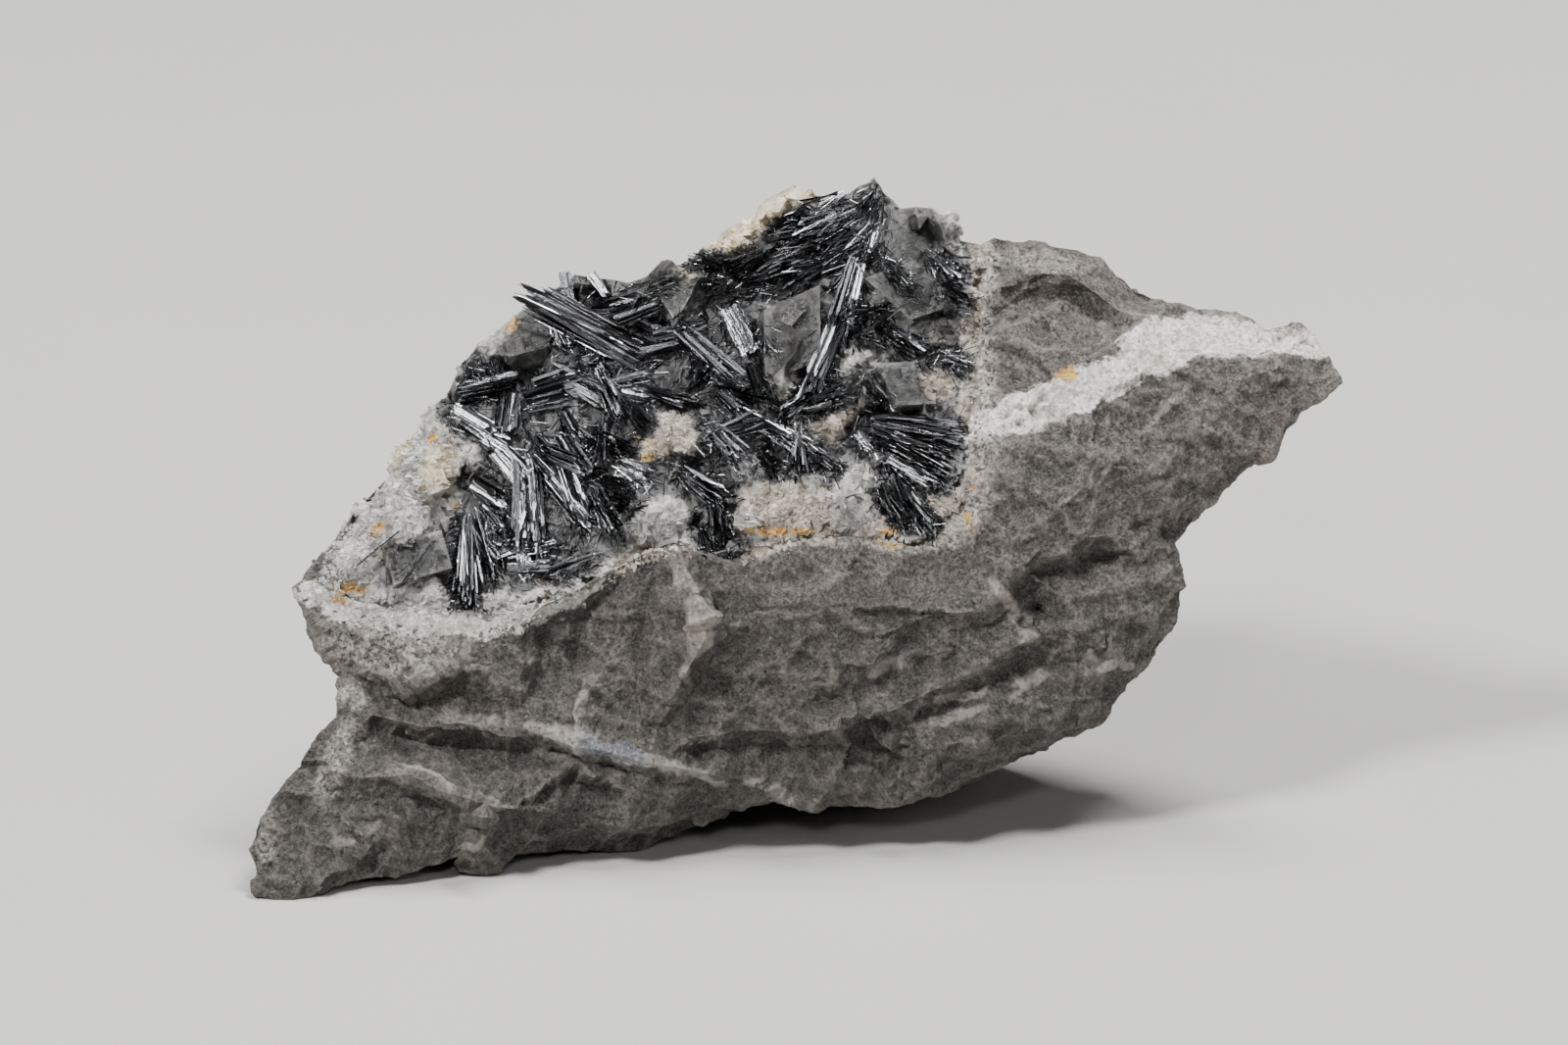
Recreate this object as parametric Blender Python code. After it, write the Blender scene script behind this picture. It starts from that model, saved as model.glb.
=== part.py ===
"""A hand specimen of rouxelite: sheaves of black sulfosalt laths on a pale carbonate crust,
which lines a shallow pocket in a broken block of grey dolostone.

The forms are set out on a face drawing. It leans back from upright, x runs to the right, v up and
w inwards, all in squares of 0.7 mm, and (0, 0, 0) is on the table. place() turns a point of the
drawing into a point of the specimen's own frame: +Z up, origin at the bottom centre of its box.
"""

import math

import bmesh
import bpy
import numpy as np
from mathutils import Vector, noise
from mathutils.geometry import delaunay_2d_cdt

LENGTH = 0.0777  # metres, from tip to tip
DRAWING_LENGTH = 111.0  # the same length in squares
SQUARE = LENGTH / DRAWING_LENGTH
LEAN = math.radians(20.0)  # of the drawing, back from upright
SETBACK = 26.1  # squares from the front of the box to its middle
GAP = 0.45  # squares, about 0.3 mm, between two pieces that touch

POCKET_W = 6.0  # depth of the pocket's mouth at POCKET_AT
POCKET_AT = (-5.0, 35.2)
POCKET_SLOPE = (-0.08, 0.53)  # how the mouth's depth grows along x and v
POCKET_DEPTH = 3.2  # of the pocket's floor under its mouth
WALL_RUN = 0.8  # sideways run of the pocket's wall

ROCK_GRID = 2.3  # squares between the mesh points of the rock's worked side
BACK_GRID = 4.0  # and of its plain side
CRUST_GRID = 1.7
CHIP_SIZE = 5.0  # squares across one flat chip of the broken surface
CHIP_TILT = 0.2
GRAIN = 0.22  # height of the finer roughness

ON_SEAT = None  # a depth that is worked out: on the pocket's floor

# The block's outline, clockwise from its left tip, as (x, v, w).
ROCK_OUTLINE = [
    (-50.8, 31.7, 8.0), (-47.7, 35.9, 9.6), (-45.2, 39.2, 11.2), (-42.6, 42.0, ON_SEAT),
    (-39.5, 45.3, ON_SEAT), (-36.0, 49.6, ON_SEAT), (-33.2, 52.7, ON_SEAT), (-30.3, 56.4, ON_SEAT),
    (-26.0, 59.8, ON_SEAT), (-20.5, 61.8, ON_SEAT), (-15.5, 61.8, ON_SEAT), (-10.5, 63.6, ON_SEAT),
    (-5.5, 67.0, ON_SEAT), (-0.5, 69.8, ON_SEAT), (4.0, 69.8, ON_SEAT), (8.5, 70.2, ON_SEAT),
    (13.0, 69.0, ON_SEAT), (16.6, 67.4, ON_SEAT), (18.9, 66.9, 23.4), (20.4, 67.7, 23.6),
    (23.3, 66.9, 24.0), (28.8, 66.4, 24.0), (31.1, 65.4, 23.5), (33.0, 63.8, 22.5),
    (34.6, 62.6, 22.0), (36.5, 61.4, 21.0), (38.3, 60.6, 20.0), (43.8, 59.7, 19.0),
    (46.2, 59.2, 18.5), (48.4, 58.4, 18.0), (50.4, 58.8, 17.5), (51.8, 59.0, 17.0),
    (53.3, 57.7, 16.0), (54.6, 55.3, 15.0), (55.5, 52.7, 14.0), (53.8, 51.7, 13.5),
    (52.0, 50.2, 13.0), (50.3, 47.7, 12.8), (48.2, 45.3, 12.5), (46.0, 43.7, 13.0),
    (43.0, 40.5, 13.0), (40.0, 37.2, 13.0), (38.7, 36.2, 12.5), (39.4, 33.0, 12.5),
    (39.7, 29.8, 12.5), (38.5, 27.3, 13.0), (36.8, 24.7, 13.0), (34.4, 22.7, 13.5),
    (32.8, 20.2, 14.0), (31.3, 17.8, 14.0), (27.5, 15.7, 14.0), (23.0, 14.0, 13.5),
    (18.5, 12.4, 12.5), (15.0, 10.5, 12.0), (10.8, 9.8, 11.5), (6.5, 9.4, 11.0),
    (2.3, 9.4, 10.5), (-1.2, 10.0, 10.5), (-4.5, 9.5, 10.5), (-6.5, 9.1, 11.0),
    (-10.0, 7.4, 13.0), (-13.5, 5.8, 13.5), (-16.5, 4.7, 13.0), (-19.0, 4.7, 12.5),
    (-21.0, 5.2, 11.5), (-24.0, 5.0, 9.0), (-28.5, 4.8, 7.5), (-30.3, 3.8, 7.0),
    (-31.5, 2.8, 6.5), (-34.3, 2.8, 6.0), (-35.0, 3.6, 5.5), (-34.2, 4.5, 5.2),
    (-37.0, 3.6, 4.5), (-41.0, 2.6, 3.5), (-45.5, 1.8, 2.3), (-48.0, 0.8, 1.2),
    (-51.0, 0.0, 0.2), (-53.0, 0.0, 0.3), (-54.6, 1.2, 1.0), (-55.0, 3.5, 1.6),
    (-55.5, 5.2, 2.0), (-54.9, 7.9, 2.6), (-52.9, 10.5, 3.4), (-51.0, 13.5, 4.3),
    (-48.8, 16.7, 5.3), (-46.8, 18.6, 6.0), (-45.8, 21.0, 7.0), (-45.8, 22.8, 7.8),
    (-46.8, 24.0, 7.5), (-48.0, 25.9, 7.3), (-48.9, 28.0, 7.3), (-50.2, 30.2, 7.5),
]

# The pocket's rim, down from the outline at the left, along the bottom and up the right side.
POCKET_RIM = [
    (-45.2, 39.2, 11.2), (-46.3, 36.0, 8.8), (-47.0, 33.0, 7.4), (-46.4, 30.6, 6.8),
    (-43.0, 29.8, 6.2), (-37.5, 29.3, 5.6), (-31.5, 28.9, 5.2),
    (-27.0, 29.6, 5.2), (-22.5, 31.2, 5.4), (-19.0, 33.2, 5.6), (-15.5, 35.2, 5.2),
    (-12.0, 35.8, 4.6), (-9.0, 34.9, 5.2), (-6.5, 34.3, 5.6), (-3.5, 34.8, 5.8),
    (-0.5, 36.3, 6.0), (4.0, 36.8, 6.2), (9.0, 36.6, 6.6), (12.8, 35.7, 6.8),
    (15.3, 37.6, 7.5), (16.6, 40.5, 8.8), (17.0, 44.0, 10.4), (17.0, 47.5, 12.2),
    (17.6, 50.5, 13.8), (18.2, 54.0, 15.6), (17.8, 57.5, 17.4), (18.6, 61.0, 19.2),
    (18.9, 64.0, 21.0), (18.9, 66.9, 23.4),
]
POCKET_MIDDLE = (-8.0, 50.0)

# Lines where the broken face turns: a crest stands out and a foot lies at the bottom of a step.
CREASES = {
    "overhang_crest": [(-45.8, 22.8, 7.8), (-43.5, 23.4, 6.2), (-41.0, 22.4, 5.4),
                       (-39.5, 21.0, 5.4)],
    "overhang_foot": [(-43.5, 22.2, 8.2), (-41.2, 20.9, 8.0), (-39.0, 19.8, 6.6)],
    "hollow_rim": [(-39.3, 21.6, 5.6), (-36.8, 24.0, 5.4), (-33.6, 24.0, 5.2), (-31.4, 21.6, 5.2)],
    "hollow_floor": [(-38.5, 20.5, 7.6), (-35.6, 21.6, 7.8), (-33.2, 20.2, 6.8)],
    "scallop_left_crest": [(-26.6, 29.0, 4.8), (-27.5, 27.0, 4.4), (-27.3, 24.5, 4.4),
                           (-28.0, 22.5, 4.6)],
    "scallop_left_foot": [(-25.2, 28.6, 6.6), (-26.0, 27.0, 7.0), (-25.8, 24.5, 7.3),
                          (-26.8, 21.8, 6.6)],
    "scallop_floor": [(-18.0, 32.2, 7.0), (-21.3, 29.6, 8.0), (-22.0, 26.6, 8.6),
                      (-22.8, 23.4, 8.2)],
    "flute_crest": [(-17.0, 32.4, 6.0), (-18.0, 28.0, 6.0), (-19.6, 23.2, 5.6), (-21.8, 20.0, 4.9),
                    (-22.6, 18.2, 5.0), (-20.5, 17.0, 5.2)],
    "flute_foot": [(-14.6, 32.5, 6.2), (-15.4, 28.5, 6.8), (-16.2, 24.0, 6.6), (-16.2, 21.0, 7.0)],
    "rib_crest": [(-12.0, 35.8, 4.6), (-11.0, 32.5, 3.4), (-9.8, 29.5, 2.9), (-9.3, 26.8, 3.2),
                  (-11.0, 23.2, 4.0), (-12.5, 21.0, 4.8)],
    "rib_foot": [(-9.4, 33.6, 5.4), (-8.4, 30.5, 5.8), (-7.8, 27.2, 6.2), (-9.4, 22.8, 6.6),
                 (-11.4, 20.4, 6.4)],
    "lower_ledge_crest": [(-45.8, 21.0, 7.0), (-43.0, 18.8, 5.2), (-38.0, 17.6, 4.6),
                          (-33.0, 17.6, 4.1), (-30.0, 16.6, 4.2), (-25.5, 16.6, 4.4),
                          (-21.0, 15.6, 4.7), (-16.5, 14.4, 5.1), (-11.0, 13.2, 5.9),
                          (-6.0, 12.2, 7.2), (-3.0, 10.8, 8.6)],
    "lower_ledge_foot": [(-42.5, 17.2, 6.2), (-37.5, 15.8, 6.6), (-32.5, 15.3, 6.6),
                         (-29.0, 15.2, 6.2), (-25.0, 15.2, 6.2), (-20.5, 14.1, 6.5),
                         (-16.0, 13.0, 7.0), (-11.0, 11.8, 7.9), (-6.5, 10.9, 9.2)],
    "left_arris": [(-46.8, 18.6, 6.0), (-45.5, 17.0, 4.6), (-47.5, 13.5, 3.0), (-49.5, 9.5, 1.6),
                   (-51.5, 7.0, 0.6), (-47.5, 6.2, 0.8), (-43.5, 5.2, 1.2), (-41.8, 3.6, 2.4)],
    "foot_crest": [(-47.5, 12.9, 2.8), (-44.0, 12.5, 2.4), (-39.0, 12.6, 2.0), (-36.0, 11.2, 1.9),
                   (-31.5, 9.8, 2.3), (-27.5, 9.0, 3.1), (-24.0, 8.2, 4.3), (-19.5, 8.3, 6.0),
                   (-14.0, 8.8, 7.8)],
    "foot_recess": [(-42.8, 10.4, 3.0), (-38.5, 10.6, 3.6), (-35.0, 9.2, 3.8), (-30.0, 8.2, 4.4),
                    (-26.0, 7.2, 5.4)],
    "block_split": [(-41.6, 9.8, 2.0), (-43.2, 7.2, 1.3), (-42.6, 4.6, 1.9)],
    "spur_crest": [(-31.0, 8.8, 3.2), (-32.5, 6.4, 3.6), (-34.0, 4.5, 4.6)],
    "spur_foot": [(-33.4, 8.0, 4.8), (-34.6, 6.2, 4.9)],
    "toe_crest": [(-26.5, 5.9, 6.0), (-22.0, 6.6, 7.0), (-19.0, 6.9, 7.8), (-14.0, 7.6, 8.6),
                  (-9.0, 9.0, 9.6), (-6.5, 9.1, 11.0)],
    "toe_recess": [(-24.0, 5.6, 8.6), (-20.0, 6.0, 11.0), (-15.0, 6.3, 12.4), (-10.8, 7.9, 12.2)],
    "middle_ledge_crest": [(-11.0, 16.4, 6.8), (-5.5, 17.0, 6.9), (0.0, 17.0, 6.6),
                           (5.0, 17.6, 6.4), (9.0, 18.8, 6.6), (13.5, 21.0, 7.1), (18.0, 23.4, 7.5),
                           (21.5, 25.2, 7.7), (24.5, 26.8, 7.9), (28.0, 26.2, 8.8),
                           (33.5, 25.4, 10.6)],
    "middle_ledge_foot": [(-9.5, 15.2, 8.0), (-5.0, 15.6, 8.9), (0.0, 15.7, 9.1), (5.0, 16.1, 9.3),
                          (8.4, 16.6, 9.8), (13.5, 19.3, 9.0), (18.0, 21.8, 9.4), (21.5, 23.6, 9.6),
                          (26.0, 24.6, 10.0)],
    "notch_crest": [(9.6, 17.6, 7.6), (11.5, 15.7, 7.8), (12.8, 13.2, 8.2), (12.6, 11.2, 9.2)],
    "notch_foot": [(9.4, 15.8, 10.4), (11.0, 13.6, 11.0), (11.3, 11.6, 11.0)],
    "lowest_ledge_crest": [(14.0, 14.8, 8.8), (19.0, 15.8, 9.4), (24.0, 17.0, 10.0),
                           (29.0, 17.6, 11.6)],
    "lowest_ledge_foot": [(14.6, 13.6, 10.2), (19.0, 14.5, 10.9), (24.0, 15.6, 11.8),
                          (28.4, 16.6, 12.8)],
    "low_step_crest": [(2.5, 21.6, 6.8), (7.5, 23.4, 6.4), (9.4, 26.8, 6.0), (14.5, 29.2, 6.0),
                       (19.2, 29.4, 6.6)],
    "low_step_foot": [(3.5, 20.4, 7.8), (8.6, 22.0, 7.8), (10.9, 25.6, 7.4), (15.4, 27.8, 7.4),
                      (19.6, 28.0, 7.8)],
    "cave_crest": [(19.5, 39.0, 7.2), (21.5, 36.0, 6.8), (23.5, 34.2, 6.9), (26.5, 34.9, 7.6),
                   (30.0, 36.6, 8.0), (32.6, 37.0, 8.4), (34.6, 36.2, 9.2)],
    "cave_floor": [(24.4, 33.2, 8.8), (27.4, 33.6, 10.0), (30.6, 34.9, 11.0), (33.0, 35.0, 11.0)],
    "pit_rim": [(21.5, 31.6, 7.2), (24.0, 33.0, 7.8), (26.8, 31.0, 8.2), (28.6, 28.8, 8.6)],
    "pit_floor": [(24.0, 31.4, 9.4), (24.7, 29.6, 10.4), (26.4, 28.4, 10.2)],
    "bevel_crest": [(33.6, 39.4, 9.6), (36.4, 39.3, 10.4), (39.6, 40.6, 10.9), (43.0, 42.6, 11.1),
                    (46.2, 45.4, 11.4), (48.4, 47.6, 11.8)],
    "bevel_foot": [(35.2, 38.2, 11.4), (38.6, 37.6, 12.4)],
    "vein_top": [(17.6, 50.5, 13.8), (22.0, 51.2, 11.6), (26.5, 52.2, 10.9), (31.0, 54.8, 12.0),
                 (36.4, 58.4, 14.6), (38.3, 60.6, 20.0)],
    "vein_bottom": [(17.0, 46.8, 11.4), (21.5, 47.2, 9.2), (28.0, 48.2, 9.2), (35.5, 52.8, 10.6),
                    (42.5, 55.8, 12.2), (49.5, 54.9, 12.9), (54.6, 55.3, 15.0)],
    "brow_crest": [(18.9, 64.0, 21.0), (21.0, 62.6, 17.2), (24.5, 64.1, 18.0), (28.0, 63.7, 17.8),
                   (31.0, 61.6, 17.0), (33.2, 59.9, 16.8), (36.4, 58.4, 14.6)],
    "brow_foot": [(22.2, 60.8, 17.6), (25.0, 61.8, 19.2), (28.5, 61.6, 19.0), (31.0, 59.6, 18.2),
                  (33.0, 58.2, 16.6)],
    "socket": [(21.4, 55.2, 14.2), (22.6, 53.0, 13.2), (24.8, 52.6, 12.6)],
}

# Single points of the broken face: the middles of its broader facets.
FACETS = [
    (-38.0, 26.5, 5.2), (-33.0, 26.0, 4.8), (-42.8, 26.6, 6.2), (-30.0, 20.0, 5.2), (-46.2, 27.4, 6.6),
    (-13.4, 27.4, 5.6), (-13.6, 32.0, 5.4), (-14.0, 18.0, 6.4), (-5.0, 31.0, 5.4), (1.0, 30.5, 4.2),
    (-1.0, 33.4, 4.8), (4.0, 33.6, 4.6), (9.0, 32.6, 5.4), (13.0, 31.6, 6.4), (17.6, 33.6, 7.4),
    (0.0, 25.5, 5.8), (-4.8, 25.6, 6.4), (-6.4, 20.8, 7.4), (13.6, 24.6, 7.6), (-36.0, 13.8, 3.8),
    (-24.0, 12.0, 4.6), (-16.0, 10.8, 6.6), (-50.0, 4.0, 0.4), (-46.5, 3.2, 1.4), (0.0, 12.5, 8.8),
    (6.0, 12.0, 9.4), (17.0, 18.4, 8.6), (24.0, 20.4, 9.4), (30.0, 21.6, 11.0), (37.0, 32.4, 9.8),
    (36.6, 28.4, 10.0), (31.0, 31.4, 9.4), (21.4, 29.4, 8.0), (22.0, 43.2, 7.2), (27.0, 40.4, 7.4),
    (30.0, 45.0, 8.4), (35.0, 43.2, 9.2), (40.4, 47.4, 9.8), (45.0, 51.6, 11.0), (50.0, 51.6, 12.2),
    (27.0, 57.6, 13.8), (22.4, 57.6, 15.6), (46.0, 57.2, 14.6), (51.0, 56.8, 14.8), (19.6, 43.4, 8.6),
]

# Planes that bound the unworked side, as (w at the drawing's middle, slope along x, slope along v).
BACK_MIDDLE = (0.0, 35.0)
BACK_PLANES = [
    (37.5, 0.02, -0.22), (52.0, 0.78, 0.10), (49.0, -0.62, 0.05), (42.0, 0.25, -0.52),
    (44.0, -0.26, -0.50),
]
TABLE_RISE = 1.0 / math.tan(LEAN)  # w at which the table is met, for each square of v
EDGE_STEP = 0.8  # how fast the unworked side falls away from the outline, and how much faster
EDGE_SLOPE = 3.2  # below the block, where the underside runs straight back to the table
UNDER_SLOPE = 9.0
UNDERSIDE_LIFT = 0.9  # squares that the broken underside rises off the table between its feet
BASE_FOOT = (7.0, 13.1)  # (x, v) of the flat foot under the back of the block
FOOT_REACH = 7.0

# The crust's outline, clockwise from the left. Its upper run is where the crust ends in the open.
CRUST_OUTLINE = [
    (-45.3, 32.2), (-45.1, 34.2), (-44.5, 36.8), (-42.4, 40.3), (-41.9, 42.4), (-41.2, 44.2),
    (-39.7, 46.7), (-38.4, 48.7), (-36.5, 50.5), (-35.5, 52.0), (-34.9, 53.2), (-34.0, 54.9),
    (-32.5, 56.5), (-30.7, 57.9), (-29.2, 59.7), (-26.9, 60.9), (-24.7, 62.5), (-22.7, 63.7),
    (-20.2, 63.5), (-17.2, 62.9), (-15.2, 63.7), (-13.2, 65.5), (-12.2, 64.7), (-9.2, 66.5),
    (-6.2, 68.7), (-3.2, 71.3), (-1.2, 72.5), (-0.1, 73.2), (1.0, 72.1), (2.6, 71.4), (4.8, 71.8),
    (6.6, 72.9), (8.1, 74.0), (9.2, 72.3), (10.8, 70.7), (12.3, 70.9), (13.8, 70.5), (15.3, 70.1),
    (16.4, 70.6), (16.7, 69.0), (16.0, 67.6), (16.5, 65.6), (17.2, 63.6), (17.2, 61.0), (16.4, 57.5),
    (16.8, 54.0), (16.2, 50.5), (15.6, 47.5), (15.6, 44.0), (15.2, 41.0), (14.0, 38.9), (12.2, 37.3),
    (9.0, 38.1), (4.0, 38.3), (-0.6, 37.8), (-3.7, 36.4), (-6.6, 35.8), (-9.2, 36.4), (-12.0, 37.3),
    (-16.0, 36.7), (-19.8, 34.7), (-23.2, 32.7), (-27.2, 31.2), (-31.5, 30.5), (-37.5, 30.9),
    (-43.0, 31.4),
]

# Crystals of the crust: (x, v) of the middle, half sizes along and across, turn in degrees, height
# over the pocket's mouth, and how the flat top tips along and across. A dome has a round top.
BLOCKS = [
    (0.3, 57.6, 5.6, 2.6, 72, 2.4, 0.22, -0.10), (12.6, 60.8, 3.6, 3.2, -38, 1.9, -0.18, 0.12),
    (10.0, 51.6, 3.0, 2.5, 6, 1.7, 0.06, 0.14), (-13.2, 62.0, 3.2, 2.3, 62, 2.2, 0.16, 0.16),
    (-39.8, 38.0, 2.0, 1.2, 78, 2.9, 0.10, 0.20), (-5.6, 37.9, 1.1, 1.0, 8, 1.2, 0.05, 0.10),
    (7.4, 59.8, 1.8, 1.3, 18, 1.2, 0.10, 0.05), (-1.2, 70.0, 2.9, 1.5, 40, 1.6, 0.25, 0.10),
    (14.8, 67.0, 2.6, 1.6, -35, 1.3, -0.2, 0.15), (-6.0, 64.8, 2.6, 1.6, 30, 1.2, 0.1, 0.2),
    (-41.0, 33.6, 2.2, 1.5, 15, 1.0, 0.1, -0.1), (3.6, 41.8, 2.2, 1.4, 25, 0.9, 0.0, 0.12),
]
DOMES = [
    (-27.6, 56.4, 3.6, 2.4, 8, 2.5), (-14.4, 38.6, 3.7, 2.4, 10, 2.0), (6.0, 40.6, 2.6, 2.7, 60, 2.3),
    (-38.2, 44.4, 5.4, 3.0, 58, 2.3), (-13.6, 47.4, 3.0, 2.2, -20, 1.2), (8.4, 71.0, 2.0, 1.2, 80, 2.2),
    (-43.6, 32.9, 2.6, 1.0, -8, 0.7), (-34.6, 36.2, 2.4, 1.8, 70, 0.6),
]
BLOCK_SIDE = 2.6  # how steeply a block's sides fall

# Sheaves of laths: name, (x, v) of root and tip, half width, number of laths, how much of the half
# width the root has.
SHEAVES = [
    ("top_spray", (8.2, 69.6), (-2.6, 64.4), 2.7, 10, 0.6),
    ("upper_left_spray", (-15.6, 56.8), (-27.6, 61.2), 1.9, 8, 0.5),
    ("centre_spray", (-9.4, 53.8), (-17.6, 52.6), 2.5, 8, 0.5),
    ("silver_sheaf", (-6.8, 60.0), (-3.8, 56.4), 1.5, 5, 0.8),
    ("tall_sheaf", (1.7, 51.2), (6.4, 65.2), 1.1, 5, 0.7),
    ("left_rim_spray", (-32.4, 49.8), (-23.8, 51.4), 2.3, 8, 0.4),
    ("broad_sheaf", (-28.4, 34.0), (-28.2, 45.0), 2.1, 7, 0.6),
    ("left_fan", (-33.4, 33.4), (-33.8, 41.0), 1.5, 5, 0.5),
    ("crossed_sheaf", (-21.4, 36.4), (-23.0, 46.4), 2.0, 7, 0.6),
    ("right_fan", (8.4, 47.2), (14.2, 45.0), 2.2, 7, 0.3),
    ("lower_right_spray", (8.8, 42.6), (12.4, 39.6), 1.4, 4, 0.5),
    ("bottom_spray", (-9.2, 43.2), (-8.2, 38.8), 1.0, 4, 0.6),
    ("thin_spray", (-5.4, 49.2), (3.8, 44.8), 1.2, 5, 0.4),
    ("middle_spray", (-20.8, 49.4), (-22.8, 55.4), 1.4, 5, 0.5),
    ("right_top_spray", (11.6, 66.6), (14.6, 64.2), 1.1, 4, 0.5),
]
LATH_WIDTH = 1.1  # squares, about 0.8 mm
LATH_THICK = 0.55
BED_DEPTH = 1.9  # of a sheaf's bed under the pocket's mouth
BED_MARGIN = 0.95  # squares that the bed is wider than its sheaf, on each side
LATH_RISE = 1.6  # how far the sheaf's top stands over the mouth

MATERIALS = {  # name: (linear colour, roughness, metallic)
    "dolostone": ((0.17, 0.155, 0.14, 1.0), 0.85, 0.0),
    "carbonate": ((0.42, 0.40, 0.37, 1.0), 0.45, 0.0),
    "rouxelite": ((0.035, 0.036, 0.04, 1.0), 0.3, 0.9),
}


def place(point):
    """A point of the face drawing, in the specimen's frame and in metres. None goes below the table."""
    x, v, w = point
    y = v * math.sin(LEAN) + w * math.cos(LEAN) - SETBACK
    z = v * math.cos(LEAN) - w * math.sin(LEAN)
    return Vector((x, y, max(z, 0.0))) * SQUARE


def mouth(x, v):
    """Depth of the pocket's mouth, a plane that the rim roughly follows."""
    return POCKET_W + POCKET_SLOPE[0] * (x - POCKET_AT[0]) + POCKET_SLOPE[1] * (v - POCKET_AT[1])


def seat(x, v):
    """Depth of the pocket's floor, which the crust sits on."""
    return mouth(x, v) + POCKET_DEPTH


def with_depth(points):
    return [(x, v, seat(x, v) if w is ON_SEAT else w) for x, v, w in points]


def towards(point, middle, run):
    """The point moved that far towards the middle, on the drawing."""
    step = Vector((middle[0] - point[0], middle[1] - point[1])).normalized() * run
    return (point[0] + step.x, point[1] + step.y)


def divided(points, longest, closed=True):
    """The polyline with its long runs divided evenly."""
    out = []
    following = points[1:] + points[:1] if closed else points[1:]
    for a, b in zip(points, following):
        steps = max(1, math.ceil(math.dist(a[:2], b[:2]) / longest))
        out += [tuple(p + (q - p) * i / steps for p, q in zip(a, b)) for i in range(steps)]
    return out if closed else out + [tuple(points[-1])]


def inside(x, v, polygon):
    odd = False
    for (ax, av), (bx, bv) in zip(polygon, polygon[1:] + polygon[:1]):
        if (av > v) != (bv > v) and x < (bx - ax) * (v - av) / (bv - av) + ax:
            odd = not odd
    return odd


def nearest_on(x, v, polygon):
    """(distance to the polygon's line, nearest point on it, index of its first end, share along)."""
    ends = np.array(polygon)
    run = np.roll(ends, -1, axis=0) - ends
    back = np.array((x, v)) - ends
    share = np.clip((back * run).sum(1) / (run * run).sum(1), 0, 1)
    on = ends + run * share[:, None]
    far = np.hypot(*(np.array((x, v)) - on).T)
    i = int(far.argmin())
    return float(far[i]), on[i], i, float(share[i])


def chips(x, v, size, seed):
    """Flat chips: each cell of a broken surface tips its own way and lies at its own level."""
    at = Vector((x / size, v / size, seed))
    centre = noise.voronoi(at)[1][0]
    tip = noise.noise_vector(centre * 5.7)
    level = noise.noise(centre * 3.1 + Vector((0, 0, 9.0)))
    return size * CHIP_TILT * (tip.x * (at.x - centre.x) + tip.y * (at.y - centre.y) + 0.5 * level)


def roughness(x, v, size, seed):
    return noise.fractal(Vector((x / size, v / size, seed)), 0.9, 2.1, 3)


def points_between(outline, spacing, keep_off, others, seed):
    """Points of a jittered triangular lattice inside the outline, clear of the other points."""
    xs, vs = [p[0] for p in outline], [p[1] for p in outline]
    taken = np.array([p[:2] for p in others])
    found = []
    row = 0
    v = min(vs)
    while v < max(vs):
        x = min(xs) + (row % 2) * spacing / 2
        while x < max(xs):
            shift = noise.noise_vector(Vector((x, v, seed))) * spacing * 0.35
            px, pv = x + shift.x, v + shift.y
            if inside(px, pv, outline) and np.hypot(*(taken - (px, pv)).T).min() > keep_off:
                found.append((px, pv))
            x += spacing
        v += spacing * math.sqrt(3) / 2
        row += 1
    return found


class Surface:
    """A surface over the drawing that is flat between creases: its depth anywhere inside an outline."""

    def __init__(self, outline, lines, points):
        known = [*outline]
        edges = []
        for line in lines:
            edges += [(len(known) + i, len(known) + i + 1) for i in range(len(line) - 1)]
            known += line
        known += points
        flat = [Vector(p[:2]) for p in known]
        made = delaunay_2d_cdt(flat, edges, [list(range(len(outline)))], 1, 1e-4)
        depths = [np.mean([known[i][2] for i in origin]) if origin else None for origin in made[3]]
        self.corners = []
        for face in made[2]:
            corner = [(made[0][i].x, made[0][i].y, depths[i]) for i in face]
            if all(c[2] is not None for c in corner):
                self.corners.append(corner)
        c = np.array(self.corners)
        self.a, self.ab, self.ac = c[:, 0], c[:, 1] - c[:, 0], c[:, 2] - c[:, 0]
        self.area = self.ab[:, 0] * self.ac[:, 1] - self.ab[:, 1] * self.ac[:, 0]

    def depth(self, x, v):
        px, pv = x - self.a[:, 0], v - self.a[:, 1]
        s = (px * self.ac[:, 1] - pv * self.ac[:, 0]) / self.area
        t = (self.ab[:, 0] * pv - self.ab[:, 1] * px) / self.area
        i = int(np.minimum(np.minimum(s, t), 1 - s - t).argmax())
        return float(self.a[i, 2] + s[i] * self.ab[i, 2] + t[i] * self.ac[i, 2])


def sheet(outline, lines, points, depth):
    """(points, triangles, which are rim) of one side of a piece: a mesh over the outline, creased
    along the lines. No edge crosses straight from rim to rim, where the two sides would touch."""
    flat = [Vector(p[:2]) for p in outline]
    edges = []
    for line in lines:
        edges += [(len(flat) + i, len(flat) + i + 1) for i in range(len(line) - 1)]
        flat += [Vector(p[:2]) for p in line]
    flat += [Vector(p[:2]) for p in points]
    across = [None]
    while across:
        made = delaunay_2d_cdt(flat, edges, [list(range(len(outline)))], 1, 1e-4)
        rim = {i: k for i, origin in enumerate(made[3]) for k in origin if k < len(outline)}
        across = [(a, b) for a, b in made[1] if a in rim and b in rim]
        neighbours = (1, len(outline) - 1)
        across = [(a, b) for a, b in across if (rim[a] - rim[b]) % len(outline) not in neighbours]
        flat += [(made[0][a] + made[0][b]) / 2 for a, b in across]
    solid = [
        (p.x, p.y, outline[rim[i]][2] if i in rim else depth(p.x, p.y)) for i, p in enumerate(made[0])
    ]
    return solid, made[2], rim


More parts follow.
